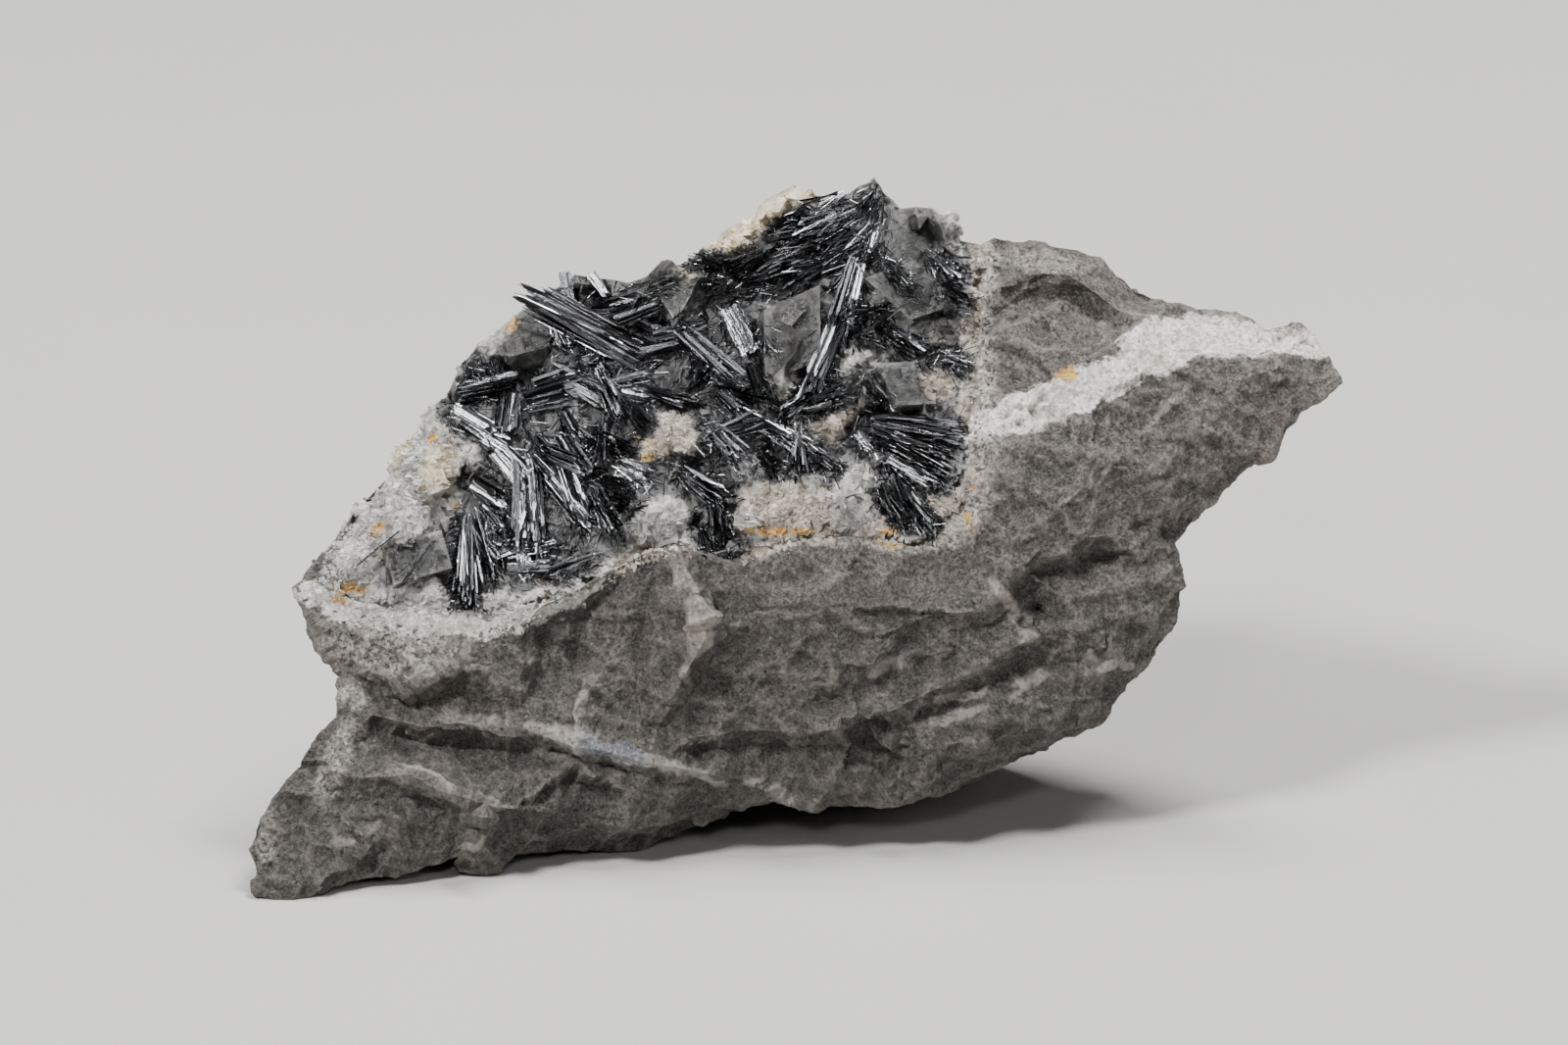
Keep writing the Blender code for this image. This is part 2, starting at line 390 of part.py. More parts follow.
def solid_from(name, outline, front, back, material):
    """One closed object from two sheets that share the outline's points."""
    mesh = bmesh.new()
    rim = [mesh.verts.new(place(p)) for p in outline]
    for points, faces, shared in (front, back):
        made = [
            rim[shared[i]] if i in shared else mesh.verts.new(place(p)) for i, p in enumerate(points)
        ]
        for face in faces:
            mesh.faces.new([made[i] for i in face])
    bmesh.ops.recalc_face_normals(mesh, faces=mesh.faces)
    return linked(name, mesh, material)


def linked(name, mesh, material):
    data = bpy.data.meshes.new(name)
    mesh.to_mesh(data)
    mesh.free()
    data.materials.append(material)
    obj = bpy.data.objects.new(name, data)
    bpy.context.scene.collection.objects.link(obj)
    return obj


def finish(name):
    colour, roughness_value, metallic = MATERIALS[name]
    made = bpy.data.materials.new(name)
    made.use_nodes = True
    shader = made.node_tree.nodes["Principled BSDF"]
    shader.inputs["Base Color"].default_value = colour
    shader.inputs["Roughness"].default_value = roughness_value
    shader.inputs["Metallic"].default_value = metallic
    return made


def underside(x, v):
    """Depth at which the block meets the table, less where its broken underside is hollow."""
    away = math.dist((x, v), BASE_FOOT)
    free = min(1.0, max(0.0, (away - FOOT_REACH) / 4.0))
    lift = UNDERSIDE_LIFT * free * max(0.0, 0.4 + roughness(x, v * 2.5, 9.0, 4.0))
    return (v + 0.25 - lift) * TABLE_RISE


def rock(material):
    """The dolostone block, with the pocket sunk in its face."""
    outline = divided(with_depth(ROCK_OUTLINE), ROCK_GRID)
    border = [p[:2] for p in outline]
    open_side = [p[:2] for p in ROCK_OUTLINE if p[2] is ON_SEAT][::-1]
    wall_foot = [towards(p, POCKET_MIDDLE, WALL_RUN) for p in POCKET_RIM[1:-1]]
    pocket = wall_foot + open_side
    floor_line = [(x, v, seat(x, v)) for x, v in open_side[-1:] + wall_foot + open_side[:1]]
    rim_area = [p[:2] for p in POCKET_RIM] + open_side
    lines = [POCKET_RIM, floor_line, *CREASES.values()]
    face = Surface(outline, lines, FACETS)

    def front_depth(x, v):
        if inside(x, v, pocket):
            return seat(x, v)
        off = 0.0 if inside(x, v, rim_area) else min(1.0, nearest_on(x, v, rim_area)[0] / 1.5)
        off *= min(1.0, nearest_on(x, v, border)[0] / 1.5)
        broken = chips(x, v, CHIP_SIZE, 2.0) + GRAIN * roughness(x, v, 2.4, 6.0)
        return face.depth(x, v) + off * broken

    def back_depth(x, v):
        far, on, i, share = nearest_on(x, v, border)
        edge = outline[i][2] + share * (outline[(i + 1) % len(outline)][2] - outline[i][2])
        below = max(0.0, (v - on[1]) / max(far, 1e-6)) if v < 32 else 0.0
        step = edge + EDGE_STEP + (EDGE_SLOPE + UNDER_SLOPE * below ** 2) * far
        to_x, to_v = x - BACK_MIDDLE[0], v - BACK_MIDDLE[1]
        planes = [w + sx * to_x + sv * to_v for w, sx, sv in BACK_PLANES]
        broken = min(planes) + 2.2 * chips(x, v, 11.0, 5.0) + 0.7 * roughness(x, v, 6.0, 8.0)
        thin = (seat(x, v) if inside(x, v, pocket) else face.depth(x, v)) + min(2.5, 0.3 + 0.7 * far)
        return max(min(broken, step, underside(x, v)), thin)

    fine = [divided(line, ROCK_GRID, closed=False) for line in lines]
    known = outline + [p for line in fine for p in line] + FACETS
    spread = points_between(border, ROCK_GRID, 0.62 * ROCK_GRID, known, 1.0)
    spread = [p for p in spread if not inside(*p, pocket) or noise.cell(Vector((*p, 3.0))) > 0.6]
    front = sheet(outline, fine, FACETS + spread, front_depth)

    rings = []
    for inset in (0.5, 1.3, 2.6):
        rings += [p for p in inset_points(outline, border, inset) if inside(*p, border)]
    foot = [
        (BASE_FOOT[0] + 3.2 * i, BASE_FOOT[1] + 1.4 * k) for i in (-2, -1, 0, 1, 2) for k in (-1, 0, 1)
    ]
    wide = points_between(border, BACK_GRID, 0.7 * BACK_GRID, outline + foot, 7.0)
    back = sheet(outline, [], rings + foot + wide, back_depth)
    return solid_from("dolostone_matrix", outline, front, back, material)


def inset_points(outline, border, inset):
    """A point inside the outline for each of its points, at that distance from all of it."""
    found = []
    for before, here, after in zip(outline[-1:] + outline[:-1], outline, outline[1:] + outline[:1]):
        run = Vector((after[0] - before[0], after[1] - before[1])).normalized()
        point = (here[0] + run.y * inset, here[1] - run.x * inset)
        if nearest_on(*point, border)[0] > 0.8 * inset:
            found.append(point)
    return found


def turned(x, v, middle, turn):
    """The point in a crystal's own axes."""
    c, s = math.cos(math.radians(turn)), math.sin(math.radians(turn))
    dx, dv = x - middle[0], v - middle[1]
    return dx * c + dv * s, dv * c - dx * s


def in_bed(x, v, sheaf, margin):
    """How far inside a sheaf's bed the point is, in squares. Below 0 it is outside."""
    root, tip = Vector(sheaf[1]), Vector(sheaf[2])
    share = max(0.0, min(1.0, (Vector((x, v)) - root).dot(tip - root) / (tip - root).length_squared))
    return sheaf[3] + margin - (Vector((x, v)) - root.lerp(tip, share)).length


def crust_height(x, v):
    """How far the crust stands over the pocket's mouth: its grainy bed, its blocks and domes."""
    high = 0.25 + 0.9 * chips(x, v, 3.4, 12.0) + 0.35 * roughness(x, v, 2.0, 14.0)
    for bx, bv, along, across, turn, height, tip_a, tip_b in BLOCKS:
        a, b = turned(x, v, (bx, bv), turn)
        out = max(abs(a) - along, abs(b) - across, 0.0)
        high = max(high, height + tip_a * a + tip_b * b - BLOCK_SIDE * out)
    for dx, dv, along, across, turn, height in DOMES:
        a, b = turned(x, v, (dx, dv), turn)
        round_top = height * (1.35 - (a / along) ** 2 - (b / across) ** 2)
        high = max(high, round_top + 0.5 * chips(x, v, 1.8, 3.0))
    for sheaf in SHEAVES:
        if in_bed(x, v, sheaf, BED_MARGIN) > 0:
            high = min(high, -BED_DEPTH)
    return high


def block_corners(block, grow):
    bx, bv, along, across, turn = block[:5]
    c, s = math.cos(math.radians(turn)), math.sin(math.radians(turn))
    out = []
    for sa, sb in ((1, 1), (-1, 1), (-1, -1), (1, -1), (1, 1)):
        a, b = sa * (along + grow), sb * (across + grow)
        out.append((bx + a * c - b * s, bv + a * s + b * c))
    return out


def bed_line(sheaf, margin):
    """The closed line round a sheaf's bed, or round its bank at a wider margin."""
    root, tip = Vector(sheaf[1]), Vector(sheaf[2])
    heading = math.atan2(tip.y - root.y, tip.x - root.x)
    line = []
    for end, turn in ((root, math.pi / 2), (tip, -math.pi / 2)):
        for i in range(5):
            angle = heading + turn + math.pi * i / 4
            reach = sheaf[3] + margin
            line.append((end.x + math.cos(angle) * reach, end.y + math.sin(angle) * reach))
    return divided(line + line[:1], CRUST_GRID * 1.2, closed=False)


def runs(line, keep):
    """The parts of the line whose points are all kept."""
    out = [[]]
    for point in line:
        if keep(point):
            out[-1].append(point)
        elif out[-1]:
            out.append([])
    return [run for run in out if len(run) > 1]


def crust(material):
    """The carbonate crust: a lining of intergrown crystals, set in the pocket with a fine gap."""
    outline = divided([(x, v, seat(x, v) - GAP - 0.1) for x, v in CRUST_OUTLINE], CRUST_GRID)
    border = [p[:2] for p in outline]

    def front_depth(x, v):
        far = nearest_on(x, v, border)[0]
        lowest = seat(x, v) - GAP - 0.15 - 4.0 * far
        return max(mouth(x, v) - crust_height(x, v), lowest)

    def clear(point):
        return inside(*point, border) and nearest_on(*point, border)[0] > 0.4

    lines = []
    for entry in SHEAVES:
        lines += runs(bed_line(entry, BED_MARGIN - 0.04), clear)
    for block in BLOCKS:
        for grow in (0.0, 0.7):
            corners = divided(block_corners(block, grow), CRUST_GRID, closed=False)
            lines += runs(corners, clear)
    known = outline + [p for line in lines for p in line]
    ring = [p for p in inset_points(outline, border, 0.8) if clear(p)]
    spread = [p for p in points_between(border, CRUST_GRID, 0.6 * CRUST_GRID, known, 21.0) if clear(p)]
    front = sheet(outline, lines, ring + spread, front_depth)
    bed = points_between(border, 3 * BACK_GRID, BACK_GRID, outline, 5.0)
    back = sheet(outline, [], bed, lambda x, v: seat(x, v) - GAP)
    return solid_from("carbonate_crust", outline, front, back, material)


def number(seed, i, k):
    """A fixed pseudo-random number from -1 to 1."""
    return noise.cell(Vector((seed, 7.0 * i + 0.5, 3.0 * k + 0.5)))


def lath(mesh, root, tip, width, thickness):
    """A lath from root to tip, lying flat along the pocket: narrower at the root, a chisel at the tip."""
    along = tip - root
    side = along.cross(Vector((-POCKET_SLOPE[0], -POCKET_SLOPE[1], 1))).normalized()
    flat = side.cross(along).normalized()
    rings = []
    for share, scale in ((0.0, 0.8), (0.9, 1.0), (1.0, 0.4)):
        corners = []
        for a, b in ((1, 1), (-1, 1), (-1, -1), (1, -1)):
            corner = root + along * share + (side * a * width + flat * b * thickness) * (scale / 2)
            corners.append(mesh.verts.new(place(corner)))
        rings.append(corners)
    for lower, upper in zip(rings, rings[1:]):
        for i in range(4):
            mesh.faces.new((lower[i - 1], lower[i], upper[i], upper[i - 1]))
    mesh.faces.new(rings[0])
    mesh.faces.new(rings[-1][::-1])
    bmesh.ops.recalc_face_normals(mesh, faces=mesh.faces)


def united(name, core, rest, material):
    """The core with the rest united to it, as one closed object."""
    kept = linked(name, core, material)
    other = linked(name + "_rest", rest, material)
    union = kept.modifiers.new("union", "BOOLEAN")
    union.operation = "UNION"
    union.solver = "EXACT"
    union.use_self = True
    union.object = other
    whole = bmesh.new()
    whole.from_object(kept, bpy.context.evaluated_depsgraph_get())
    bpy.data.objects.remove(other)
    bpy.data.objects.remove(kept)
    bmesh.ops.triangulate(whole, faces=whole.faces)
    return linked(name, whole, material)


def sheaf(entry, seed, material):
    """One sheaf of laths, grown together at the root and spread at the tips."""
    name, root, tip, half, count, at_root = entry
    root, tip = Vector(root), Vector(tip)
    along = (tip - root).normalized()
    across = Vector((-along.y, along.x))
    deep, high = BED_DEPTH - GAP - LATH_THICK / 2 - 0.15, -LATH_RISE + LATH_THICK / 2
    core_level = 0.55 * deep + 0.45 * high

    def at(point, level):
        return Vector((point.x, point.y, mouth(point.x, point.y) + level))

    core = bmesh.new()
    end = root.lerp(tip, 0.62)
    lath(core, at(root, core_level), at(end, core_level), 2 * half * at_root + 0.5, 1.5)
    rest = bmesh.new()
    for i in range(count):
        spread = -1 + 2 * (i + 0.5) / count + number(seed, i, 1) / count
        level = number(seed, i, 2)
        start = root + across * half * at_root * 0.8 * number(seed, i, 3)
        reach = 1.0 - 0.3 * abs(number(seed, i, 4)) - 0.12 * spread ** 2
        aside = across * (half - 0.5 * LATH_WIDTH) * spread
        finish_at = root + along * (tip - root).length * reach + aside
        rise = core_level + (0.5 + 0.5 * level) * (high - core_level)
        rise += (0.5 - 0.5 * level) * (deep - core_level) * 0.6
        width = LATH_WIDTH * (1 + 0.35 * number(seed, i, 5))
        lath(rest, at(start, core_level + 0.45 * level), at(finish_at, rise), width, LATH_THICK)
    return united("rouxelite_" + name, core, rest, material)


def main():
    for old in list(bpy.data.objects):
        bpy.data.objects.remove(old)
    made = {name: finish(name) for name in MATERIALS}
    rock(made["dolostone"])
    crust(made["carbonate"])
    for i, entry in enumerate(SHEAVES):
        sheaf(entry, 3.0 + 11.0 * i, made["rouxelite"])


main()
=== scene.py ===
"""The look of a rouxelite specimen: black metallic laths in sheaves, on pale carbonate crystals that
line a pocket in a block of broken grey dolostone.

Places on the specimen's face are given as on its drawing: x to the right, v up and w inwards, in
squares of 0.7 mm, with the drawing leaning back from upright. A line there is a row of
(x, v, half width), and a spot is (x, v, half length, half width, turn in degrees).
"""

from functools import partial
from math import atan2, cos, exp, hypot, pi, radians, sin

import bmesh
import bpy
import numpy as np
from mathutils import Euler, Matrix, Quaternion, Vector, noise
from mathutils.bvhtree import BVHTree


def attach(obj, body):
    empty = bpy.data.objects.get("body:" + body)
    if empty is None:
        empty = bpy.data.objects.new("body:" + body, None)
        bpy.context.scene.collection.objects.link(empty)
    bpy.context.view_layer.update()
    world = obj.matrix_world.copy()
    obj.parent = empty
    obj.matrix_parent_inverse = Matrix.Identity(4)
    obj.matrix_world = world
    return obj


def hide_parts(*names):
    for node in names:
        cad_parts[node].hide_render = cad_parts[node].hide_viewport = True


MM = 0.001
SQUARE = 0.7 * MM
LEAN = radians(20.0)  # of the drawing, back from upright
SETBACK = 26.1  # squares from the drawing's foot to the middle of the specimen's box
INWARD = Vector((0, cos(LEAN), -sin(LEAN)))  # from the drawing into the specimen
IN_FRONT = -20.0  # a w in front of the whole specimen
MOUTH = (6.0, -0.08, 0.53, -5.0, 35.2)  # the pocket's mouth: w, its slopes along x and v, and where
FOOT = 2.2  # squares inwards from the mouth to where the crust has grown into the rock

NOISE_SEED, CRUST_SEED, LATH_SEED = 5, 7, 40

noise.seed_set(NOISE_SEED)  # without it, noise_vector starts from the clock

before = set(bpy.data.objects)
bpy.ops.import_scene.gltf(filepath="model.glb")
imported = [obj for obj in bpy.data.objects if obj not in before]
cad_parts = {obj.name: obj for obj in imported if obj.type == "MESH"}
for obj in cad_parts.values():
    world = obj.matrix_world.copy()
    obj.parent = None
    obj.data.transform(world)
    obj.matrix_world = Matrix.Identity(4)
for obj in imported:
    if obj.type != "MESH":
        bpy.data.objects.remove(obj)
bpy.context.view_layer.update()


# ------------------------ the drawing and the solids

def to_drawing(points):
    """Rows of x, y, z in metres, as rows of x, v, w in squares."""
    x, y, z = (np.asarray(points, float) / SQUARE).T
    y = y + SETBACK
    v = y * sin(LEAN) + z * cos(LEAN)
    return np.stack([x, v, y * cos(LEAN) - z * sin(LEAN)], 1)


def from_drawing(points):
    """Rows of x, v, w in squares, as rows of x, y, z in metres."""
    x, v, w = np.asarray(points, float).T
    y = v * sin(LEAN) + w * cos(LEAN) - SETBACK
    return np.stack([x, y, v * cos(LEAN) - w * sin(LEAN)], 1) * SQUARE


def unit(values):
    """The values, kept between 0 and 1."""
    return np.clip(values, 0, 1)


def mouth(x, v):
    """How far inwards the pocket's mouth lies at x, v."""
    w, along_x, along_v, at_x, at_v = MOUTH
    return w + along_x * (x - at_x) + along_v * (v - at_v)


def split(tris, cut):
    """Triangles parted at the new points on their edges ab, bc and ca, where cut isn't -1."""
    count = (cut >= 0).sum(1)
    parts = [tris[count == 0]]
    for side in range(3):
        turned, new = np.roll(tris, -side, 1), np.roll(cut, -side, 1)
        one, two = (count == 1) & (new[:, 0] >= 0), (count == 2) & (new[:, 2] < 0)
        (a, b, c), m = turned[one].T, new[one, 0]
        parts += [np.stack(corners, 1) for corners in ((a, m, c), (m, b, c))]
        (a, b, c), (m, n) = turned[two].T, new[two, :2].T
        parts += [np.stack(corners, 1) for corners in ((m, b, n), (a, m, n), (a, n, c))]
    (a, b, c), (m, n, o) = tris[count == 3].T, cut[count == 3].T
    parts += [np.stack(corners, 1) for corners in ((a, m, o), (m, b, n), (o, n, c), (m, n, o))]
    return np.concatenate(parts)


WELD = 0.001 * MM  # vertices closer than this are one


def refined(name, longest, passes):
    """The node's mesh, with each edge over longest(x, v, w, back) cut in every pass.

    back is how much the edge's two ends face the back, from -2 to 2.
    """
    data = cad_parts[name].data
    data.calc_loop_triangles()
    place = np.array([vert.co for vert in data.vertices])
    grid = np.round(place / WELD).astype(np.int64)
    _, first, same = np.unique(grid, axis=0, return_index=True, return_inverse=True)
    place, same = place[first], same.reshape(-1)
    tris = same[np.array([t.vertices for t in data.loop_triangles])]
    for _ in range(passes):
        a, b, c = (place[tris[:, corner]] for corner in range(3))
        normals = np.zeros_like(place)
        for corner in range(3):
            np.add.at(normals, tris[:, corner], np.cross(b - a, c - a))
        back = normals[:, 1] / np.linalg.norm(normals, axis=1)
        pairs = np.sort(np.stack([tris, np.roll(tris, -1, 1)], 2), 2)
        keys, edge_of = np.unique(pairs[..., 0] * len(place) + pairs[..., 1], return_inverse=True)
        ends = np.stack(np.divmod(keys, len(place)), 1)
        middles = place[ends].mean(1)
        most = longest(*to_drawing(middles).T, back[ends].sum(1))
        too_long = np.linalg.norm(place[ends[:, 0]] - place[ends[:, 1]], axis=1) > most
        new = np.where(too_long, len(place) + np.cumsum(too_long) - 1, -1)
        place = np.concatenate([place, middles[too_long]])
        tris = split(tris, new[edge_of.reshape(-1, 3)])
    data = bpy.data.meshes.new(name)
    data.from_pydata(place.tolist(), [], tris.tolist())
    mesh = bmesh.new()
    mesh.from_mesh(data)
    bpy.data.meshes.remove(data)
    mesh.normal_update()
    return mesh


def points_of(mesh):
    """(place, outward direction) of the mesh's vertices."""
    return np.array([vert.co for vert in mesh.verts]), np.array([vert.normal for vert in mesh.verts])


def surface_of(obj):
    """The object's surface, for rays to hit."""
    data = obj.data
    return BVHTree.FromPolygons([vert.co for vert in data.vertices], [p.vertices for p in data.polygons])


def placed(name, data):
    """An object of the data, in the scene."""
    obj = bpy.data.objects.new(name, data)
    bpy.context.scene.collection.objects.link(obj)
    return obj


def layers(mesh, name, marks):
    """An object of the mesh, with a layer of values from 0 to 1 for each mark."""
    data = bpy.data.meshes.new(name)
    mesh.to_mesh(data)
    mesh.free()
    for mark, values in marks.items():
        layer = data.attributes.new(mark, "FLOAT", "POINT")
        layer.data.foreach_set("value", np.clip(values, 0, 1).astype(np.float32))
    return placed(name, data)


FULL_RELIEF = 0.06 * MM  # hollow or proud by this much counts as 1


def relief(mesh, rounds):
    """(how hollow, how proud) each vertex lies against the ones round it, from 0 to 1."""
    mesh.verts.ensure_lookup_table()
    ends = np.array([(e.verts[0].index, e.verts[1].index) for e in mesh.edges])
    place, outward = points_of(mesh)
    smooth = place.copy()
    count = np.bincount(ends.ravel(), minlength=len(place))[:, None]
    for _ in range(rounds):
        total = np.zeros_like(smooth)
        for here, there in (ends.T, ends.T[::-1]):
            np.add.at(total, here, smooth[there])
        smooth = total / count
    depth = ((smooth - place) * outward).sum(1) / FULL_RELIEF
    return unit(depth), unit(-depth)


# ------------------------ broken stone and crystal faces

TIPPING = 4.3  # stretch of the noise that tips a cell, so that cells side by side tip apart
RIDGE_FADE = 0.03  # how much higher the next scoop is where nearness to the ridge falls to a third
BED = 2.6  # mm from one bed of the stone to the next
BED_DIP = 0.25  # fall of the beds to the right
LEDGE_HEIGHT = 0.3  # mm


def facet(at):
    """Height of small crystal faces at the point: flat cells that each tip their own way."""
    centre = noise.voronoi(at)[1][0]
    tip = noise.noise_vector(centre * TIPPING)
    return tip.dot(at - centre) + 0.35 * tip.z


def scoop(at):
    """Height of flaked stone and nearness to a ridge: shallow scoops that meet in sharp ridges."""
    heights = []
    for centre in noise.voronoi(at)[1]:
        tip = noise.noise_vector(centre * TIPPING)
        off = at - centre
        heights.append(0.45 * tip.z + 0.9 * tip.dot(off) + 0.8 * off.length_squared)
    heights.sort()
    return heights[0], exp((heights[0] - heights[1]) / RIDGE_FADE)


def ledge(at):
    """Height of the low steps in which the stone breaks along its bedding."""
    share = (at.z + BED_DIP * at.x + 1.6 * noise.noise(at / 5.0)) / BED % 1.0
    rise = max(0.0, min(1.0, share * 5.0))
    here = max(0.0, 0.4 + noise.noise(at / 6.0))
    return LEDGE_HEIGHT * (rise * rise * (3 - 2 * rise) - share) * here


def wandering(points):
    """The x and v of points, moved about by up to a square so that drawn lines wander and fray."""
    places = [Vector(p) for p in points]
    moved = [0.7 * noise.noise_vector(p / 3.3) + 0.35 * noise.noise_vector(p / 1.1) for p in places]
    x, v, _ = (points + np.array(moved)).T
    return x, v


# ------------------------ marks, from the drawing

def share_along(x, v, start, run):
    """How far along the run from the start each point is, from 0 to 1."""
    return unit(((x - start[0]) * run[0] + (v - start[1]) * run[1]) / (run @ run))


def near_line(x, v, line):
    """Distance of each point to the line, in the line's own half widths."""
    best = np.full(len(x), 9.0)
    for (ax, av, aw), (bx, bv, bw) in zip(line, line[1:]):
        run = np.array((bx - ax, bv - av))
        share = share_along(x, v, (ax, av), run)
        far = np.hypot(x - ax - share * run[0], v - av - share * run[1])
        best = np.minimum(best, far / (aw + share * (bw - aw)))
    return best


def on_line(x, v, line, narrow=1.0):
    """1 along the line, fading to 0 past its edge."""
    return unit(1.5 - near_line(x, v, line) * narrow)


def near_spot(x, v, spot):
    """Distance of each point from the middle of the spot, 1 at its edge."""
    sx, sv, along, across, turn = spot
    c, s = cos(radians(turn)), sin(radians(turn))
    dx, dv = x - sx, v - sv
    return np.hypot((dx * c + dv * s) / along, (dv * c - dx * s) / across)


def spots(x, v, several, edge=0.35):
    """1 inside the spots, fading to 0 over the edge."""
    return np.max([unit((1 + edge - near_spot(x, v, s)) / (2 * edge)) for s in several], axis=0)


# ------------------------ materials

MIX = "Mix", 2, {"data_type": "RGBA"}  # i6 going to i7 as i0 goes from 0 to 1


def linear(code):
    """An sRGB hex colour as linear red, green, blue and alpha."""
    parts = [int(code[i:i + 2], 16) / 255 for i in (1, 3, 5)]
    return [p / 12.92 if p <= 0.04045 else ((p + 0.055) / 1.055) ** 2.4 for p in parts] + [1.0]


def fill(tree, made, inputs):
    """Give each input, by name or as i and its number, an output, a hex colour or a value."""
    for name, value in inputs.items():
        socket = made.inputs[int(name[1:]) if name[1:].isdigit() else name.replace("_", " ")]
        if isinstance(value, bpy.types.NodeSocket):
            tree.links.new(value, socket)
        else:
            socket.default_value = linear(value) if isinstance(value, str) else value


def node(tree, kind, output=0, settings=None, **inputs):
    """The output of a new node that has the settings and inputs."""
    made = tree.nodes.new("ShaderNode" + kind)
    for name, value in (settings or {}).items():
        setattr(made, name, value)
    fill(tree, made, inputs)
    return made.outputs[output]


def started(name):
    """(a new material, what adds a node to it)"""
    made = bpy.data.materials.new(name)
    made.use_nodes = True
    return made, partial(node, made.node_tree)


def in_mm(add):
    """(places on the object in millimetres, what makes lumps there)"""
    at = add("Mapping", Vector=add("TexCoord", "Object"), Scale=(1 / MM, 1 / MM, 1 / MM))
    return at, partial(lumps_in, add, at)


def finished(made, **inputs):
    """The material, its surface's inputs filled."""
    fill(made.node_tree, made.node_tree.nodes["Principled BSDF"], inputs)
    return made


def lumps_in(add, at, size_mm, detail, rough, between=(0, 1), give=(0, 1)):
    """Noise in lumps size_mm across: between the two levels it goes from one value to the other."""
    (low, high), (first, last) = between, give
    level = add("TexNoise", Vector=at, Scale=1.0 / size_mm, Detail=detail, Roughness=rough)
    return add("MapRange", Value=level, From_Min=low, From_Max=high, To_Min=first, To_Max=last)


def marked(add, body, mark, wobble, low, high, colour, most=1.0):
    """The body, with the colour where the mark is, its edge broken by the wobble.

    The colour is a hex code, an output, or (how far between them, one colour, the other).
    """
    if isinstance(colour, tuple):
        colour = add(*MIX, i0=colour[0], i6=colour[1], i7=colour[2])
    here = add("Attribute", "Fac", {"attribute_name": mark})
    here = add("Math", 0, {"operation": "ADD"}, i0=here, i1=wobble)
    smooth = {"interpolation_type": "SMOOTHSTEP"}
    here = add("MapRange", 0, smooth, Value=here, From_Min=low, From_Max=high, To_Max=most)
    return add(*MIX, i0=here, i6=body, i7=colour)


def faceted(add, normal, at, size_mm, tilt):
    """The normal, tipped a different way on each grain of size_mm."""
    colour = add("TexVoronoi", "Color", Vector=at, Scale=1.0 / size_mm)
    off = add("VectorMath", 0, {"operation": "SUBTRACT"}, i0=colour, i1=(0.5, 0.5, 0.5))
    tipped = add("VectorMath", 0, {"operation": "MULTIPLY_ADD"}, i0=off, i1=(tilt, tilt, tilt), i2=normal)
    return add("VectorMath", 0, {"operation": "NORMALIZE"}, i0=tipped)


def dolostone_broken():
    """Fine-grained dolostone, broken by hand: matt and mottled, with grains that catch the light."""
    made, add = started("dolostone_broken")
    at, lumps = in_mm(add)
    body = add(*MIX, i0=lumps(6.0, 5, 0.6, (0.35, 0.65)), i6="#2d2824", i7="#403933")
    for share, colour in ((lumps(1.6, 6, 0.7, (0.35, 0.65), (0, 0.15)), "#252322"),
                          (lumps(2.6, 8, 0.75, (0.55, 0.7), (0, 0.12)), "#9b938a")):
        body = add(*MIX, i0=share, i6=body, i7=colour)
    # the stone's own crystals, under 0.1 mm across, drawn at 0.17 mm so that they show
    fine = lumps(0.17, 3, 0.8, (0.38, 0.62))
    dark = add(*MIX, i0=0.58, i6=body, i7="#171513")
    light = add(*MIX, i0=0.26, i6=body, i7="#bdb6ad")
    body = add(*MIX, i0=fine, i6=dark, i7=light)
    wobble = lumps(0.8, 8, 0.75, give=(-0.75, 0.75))
    vein = add(*MIX, i0=lumps(0.3, 6, 0.8, (0.34, 0.56)), i6="#a39c94", i7="#f8f5f0")
    for mark in (
            ("sugar", wobble, 0.3, 1.2, (lumps(0.3, 4, 0.8, (0.4, 0.6)), "#4d4842", "#d3ccc3")),
            ("calcite", wobble, 0.3, 0.8, (fine, "#5d6066", "#a2a6ad")),
            ("veinlet", wobble, 0.3, 0.9, "#bdb5ac", 0.65),
            ("vein", wobble, 0.35, 0.6, (lumps(3.4, 5, 0.7, (0.45, 0.65), (0, 0.55)), vein, "#bfab9b")),
            ("ochre", lumps(0.55, 6, 0.8, (0.3, 0.75)), 1.0, 1.5,
             (lumps(0.8, 4, 0.6, (0.4, 0.6)), "#dfb04a", "#ab7a24"))):
        body = marked(add, body, *mark)
    # painted shade in the stone's hollows, and painted highlight on its crests and ridges, both from the
    # mesh's relief
    for name, most, colour in (("hollow", 0.245, "#1c1a19"), ("crest", 0.56, "#b8b0a6")):
        painted_relief = add("Attribute", "Fac", {"attribute_name": name})
        share = add("Math", 0, {"operation": "MULTIPLY"}, i0=painted_relief, i1=most)
        body = add(*MIX, i0=share, i6=body, i7=colour)
    # painted light: the stone's colour is made paler towards its top, from 5 to 40 mm up, where more light
    # falls from above
    painted_top_light = add("MapRange", Value=add("SeparateXYZ", "Z", Vector=at), From_Min=5.0, From_Max=40.0,
                    To_Min=0.68, To_Max=1.3)
    body = add("VectorMath", 0, {"operation": "SCALE"}, i0=body, Scale=painted_top_light)
    # one grain in ten is a cleavage face, smooth enough to glint
    flakes = add("SeparateColor", Color=add("TexVoronoi", "Color", Vector=at, Scale=1 / 0.22))
    glint = add("MapRange", Value=flakes, From_Min=0.9, From_Max=0.92, To_Min=0.82, To_Max=0.3)
    rough = add("Bump", Height=lumps(0.45, 8, 0.8), Strength=1.0, Distance=0.25 * MM)
    return finished(made, Base_Color=body, Roughness=glint, IOR=1.6,
                    Normal=faceted(add, rough, at, 0.24, 0.9))


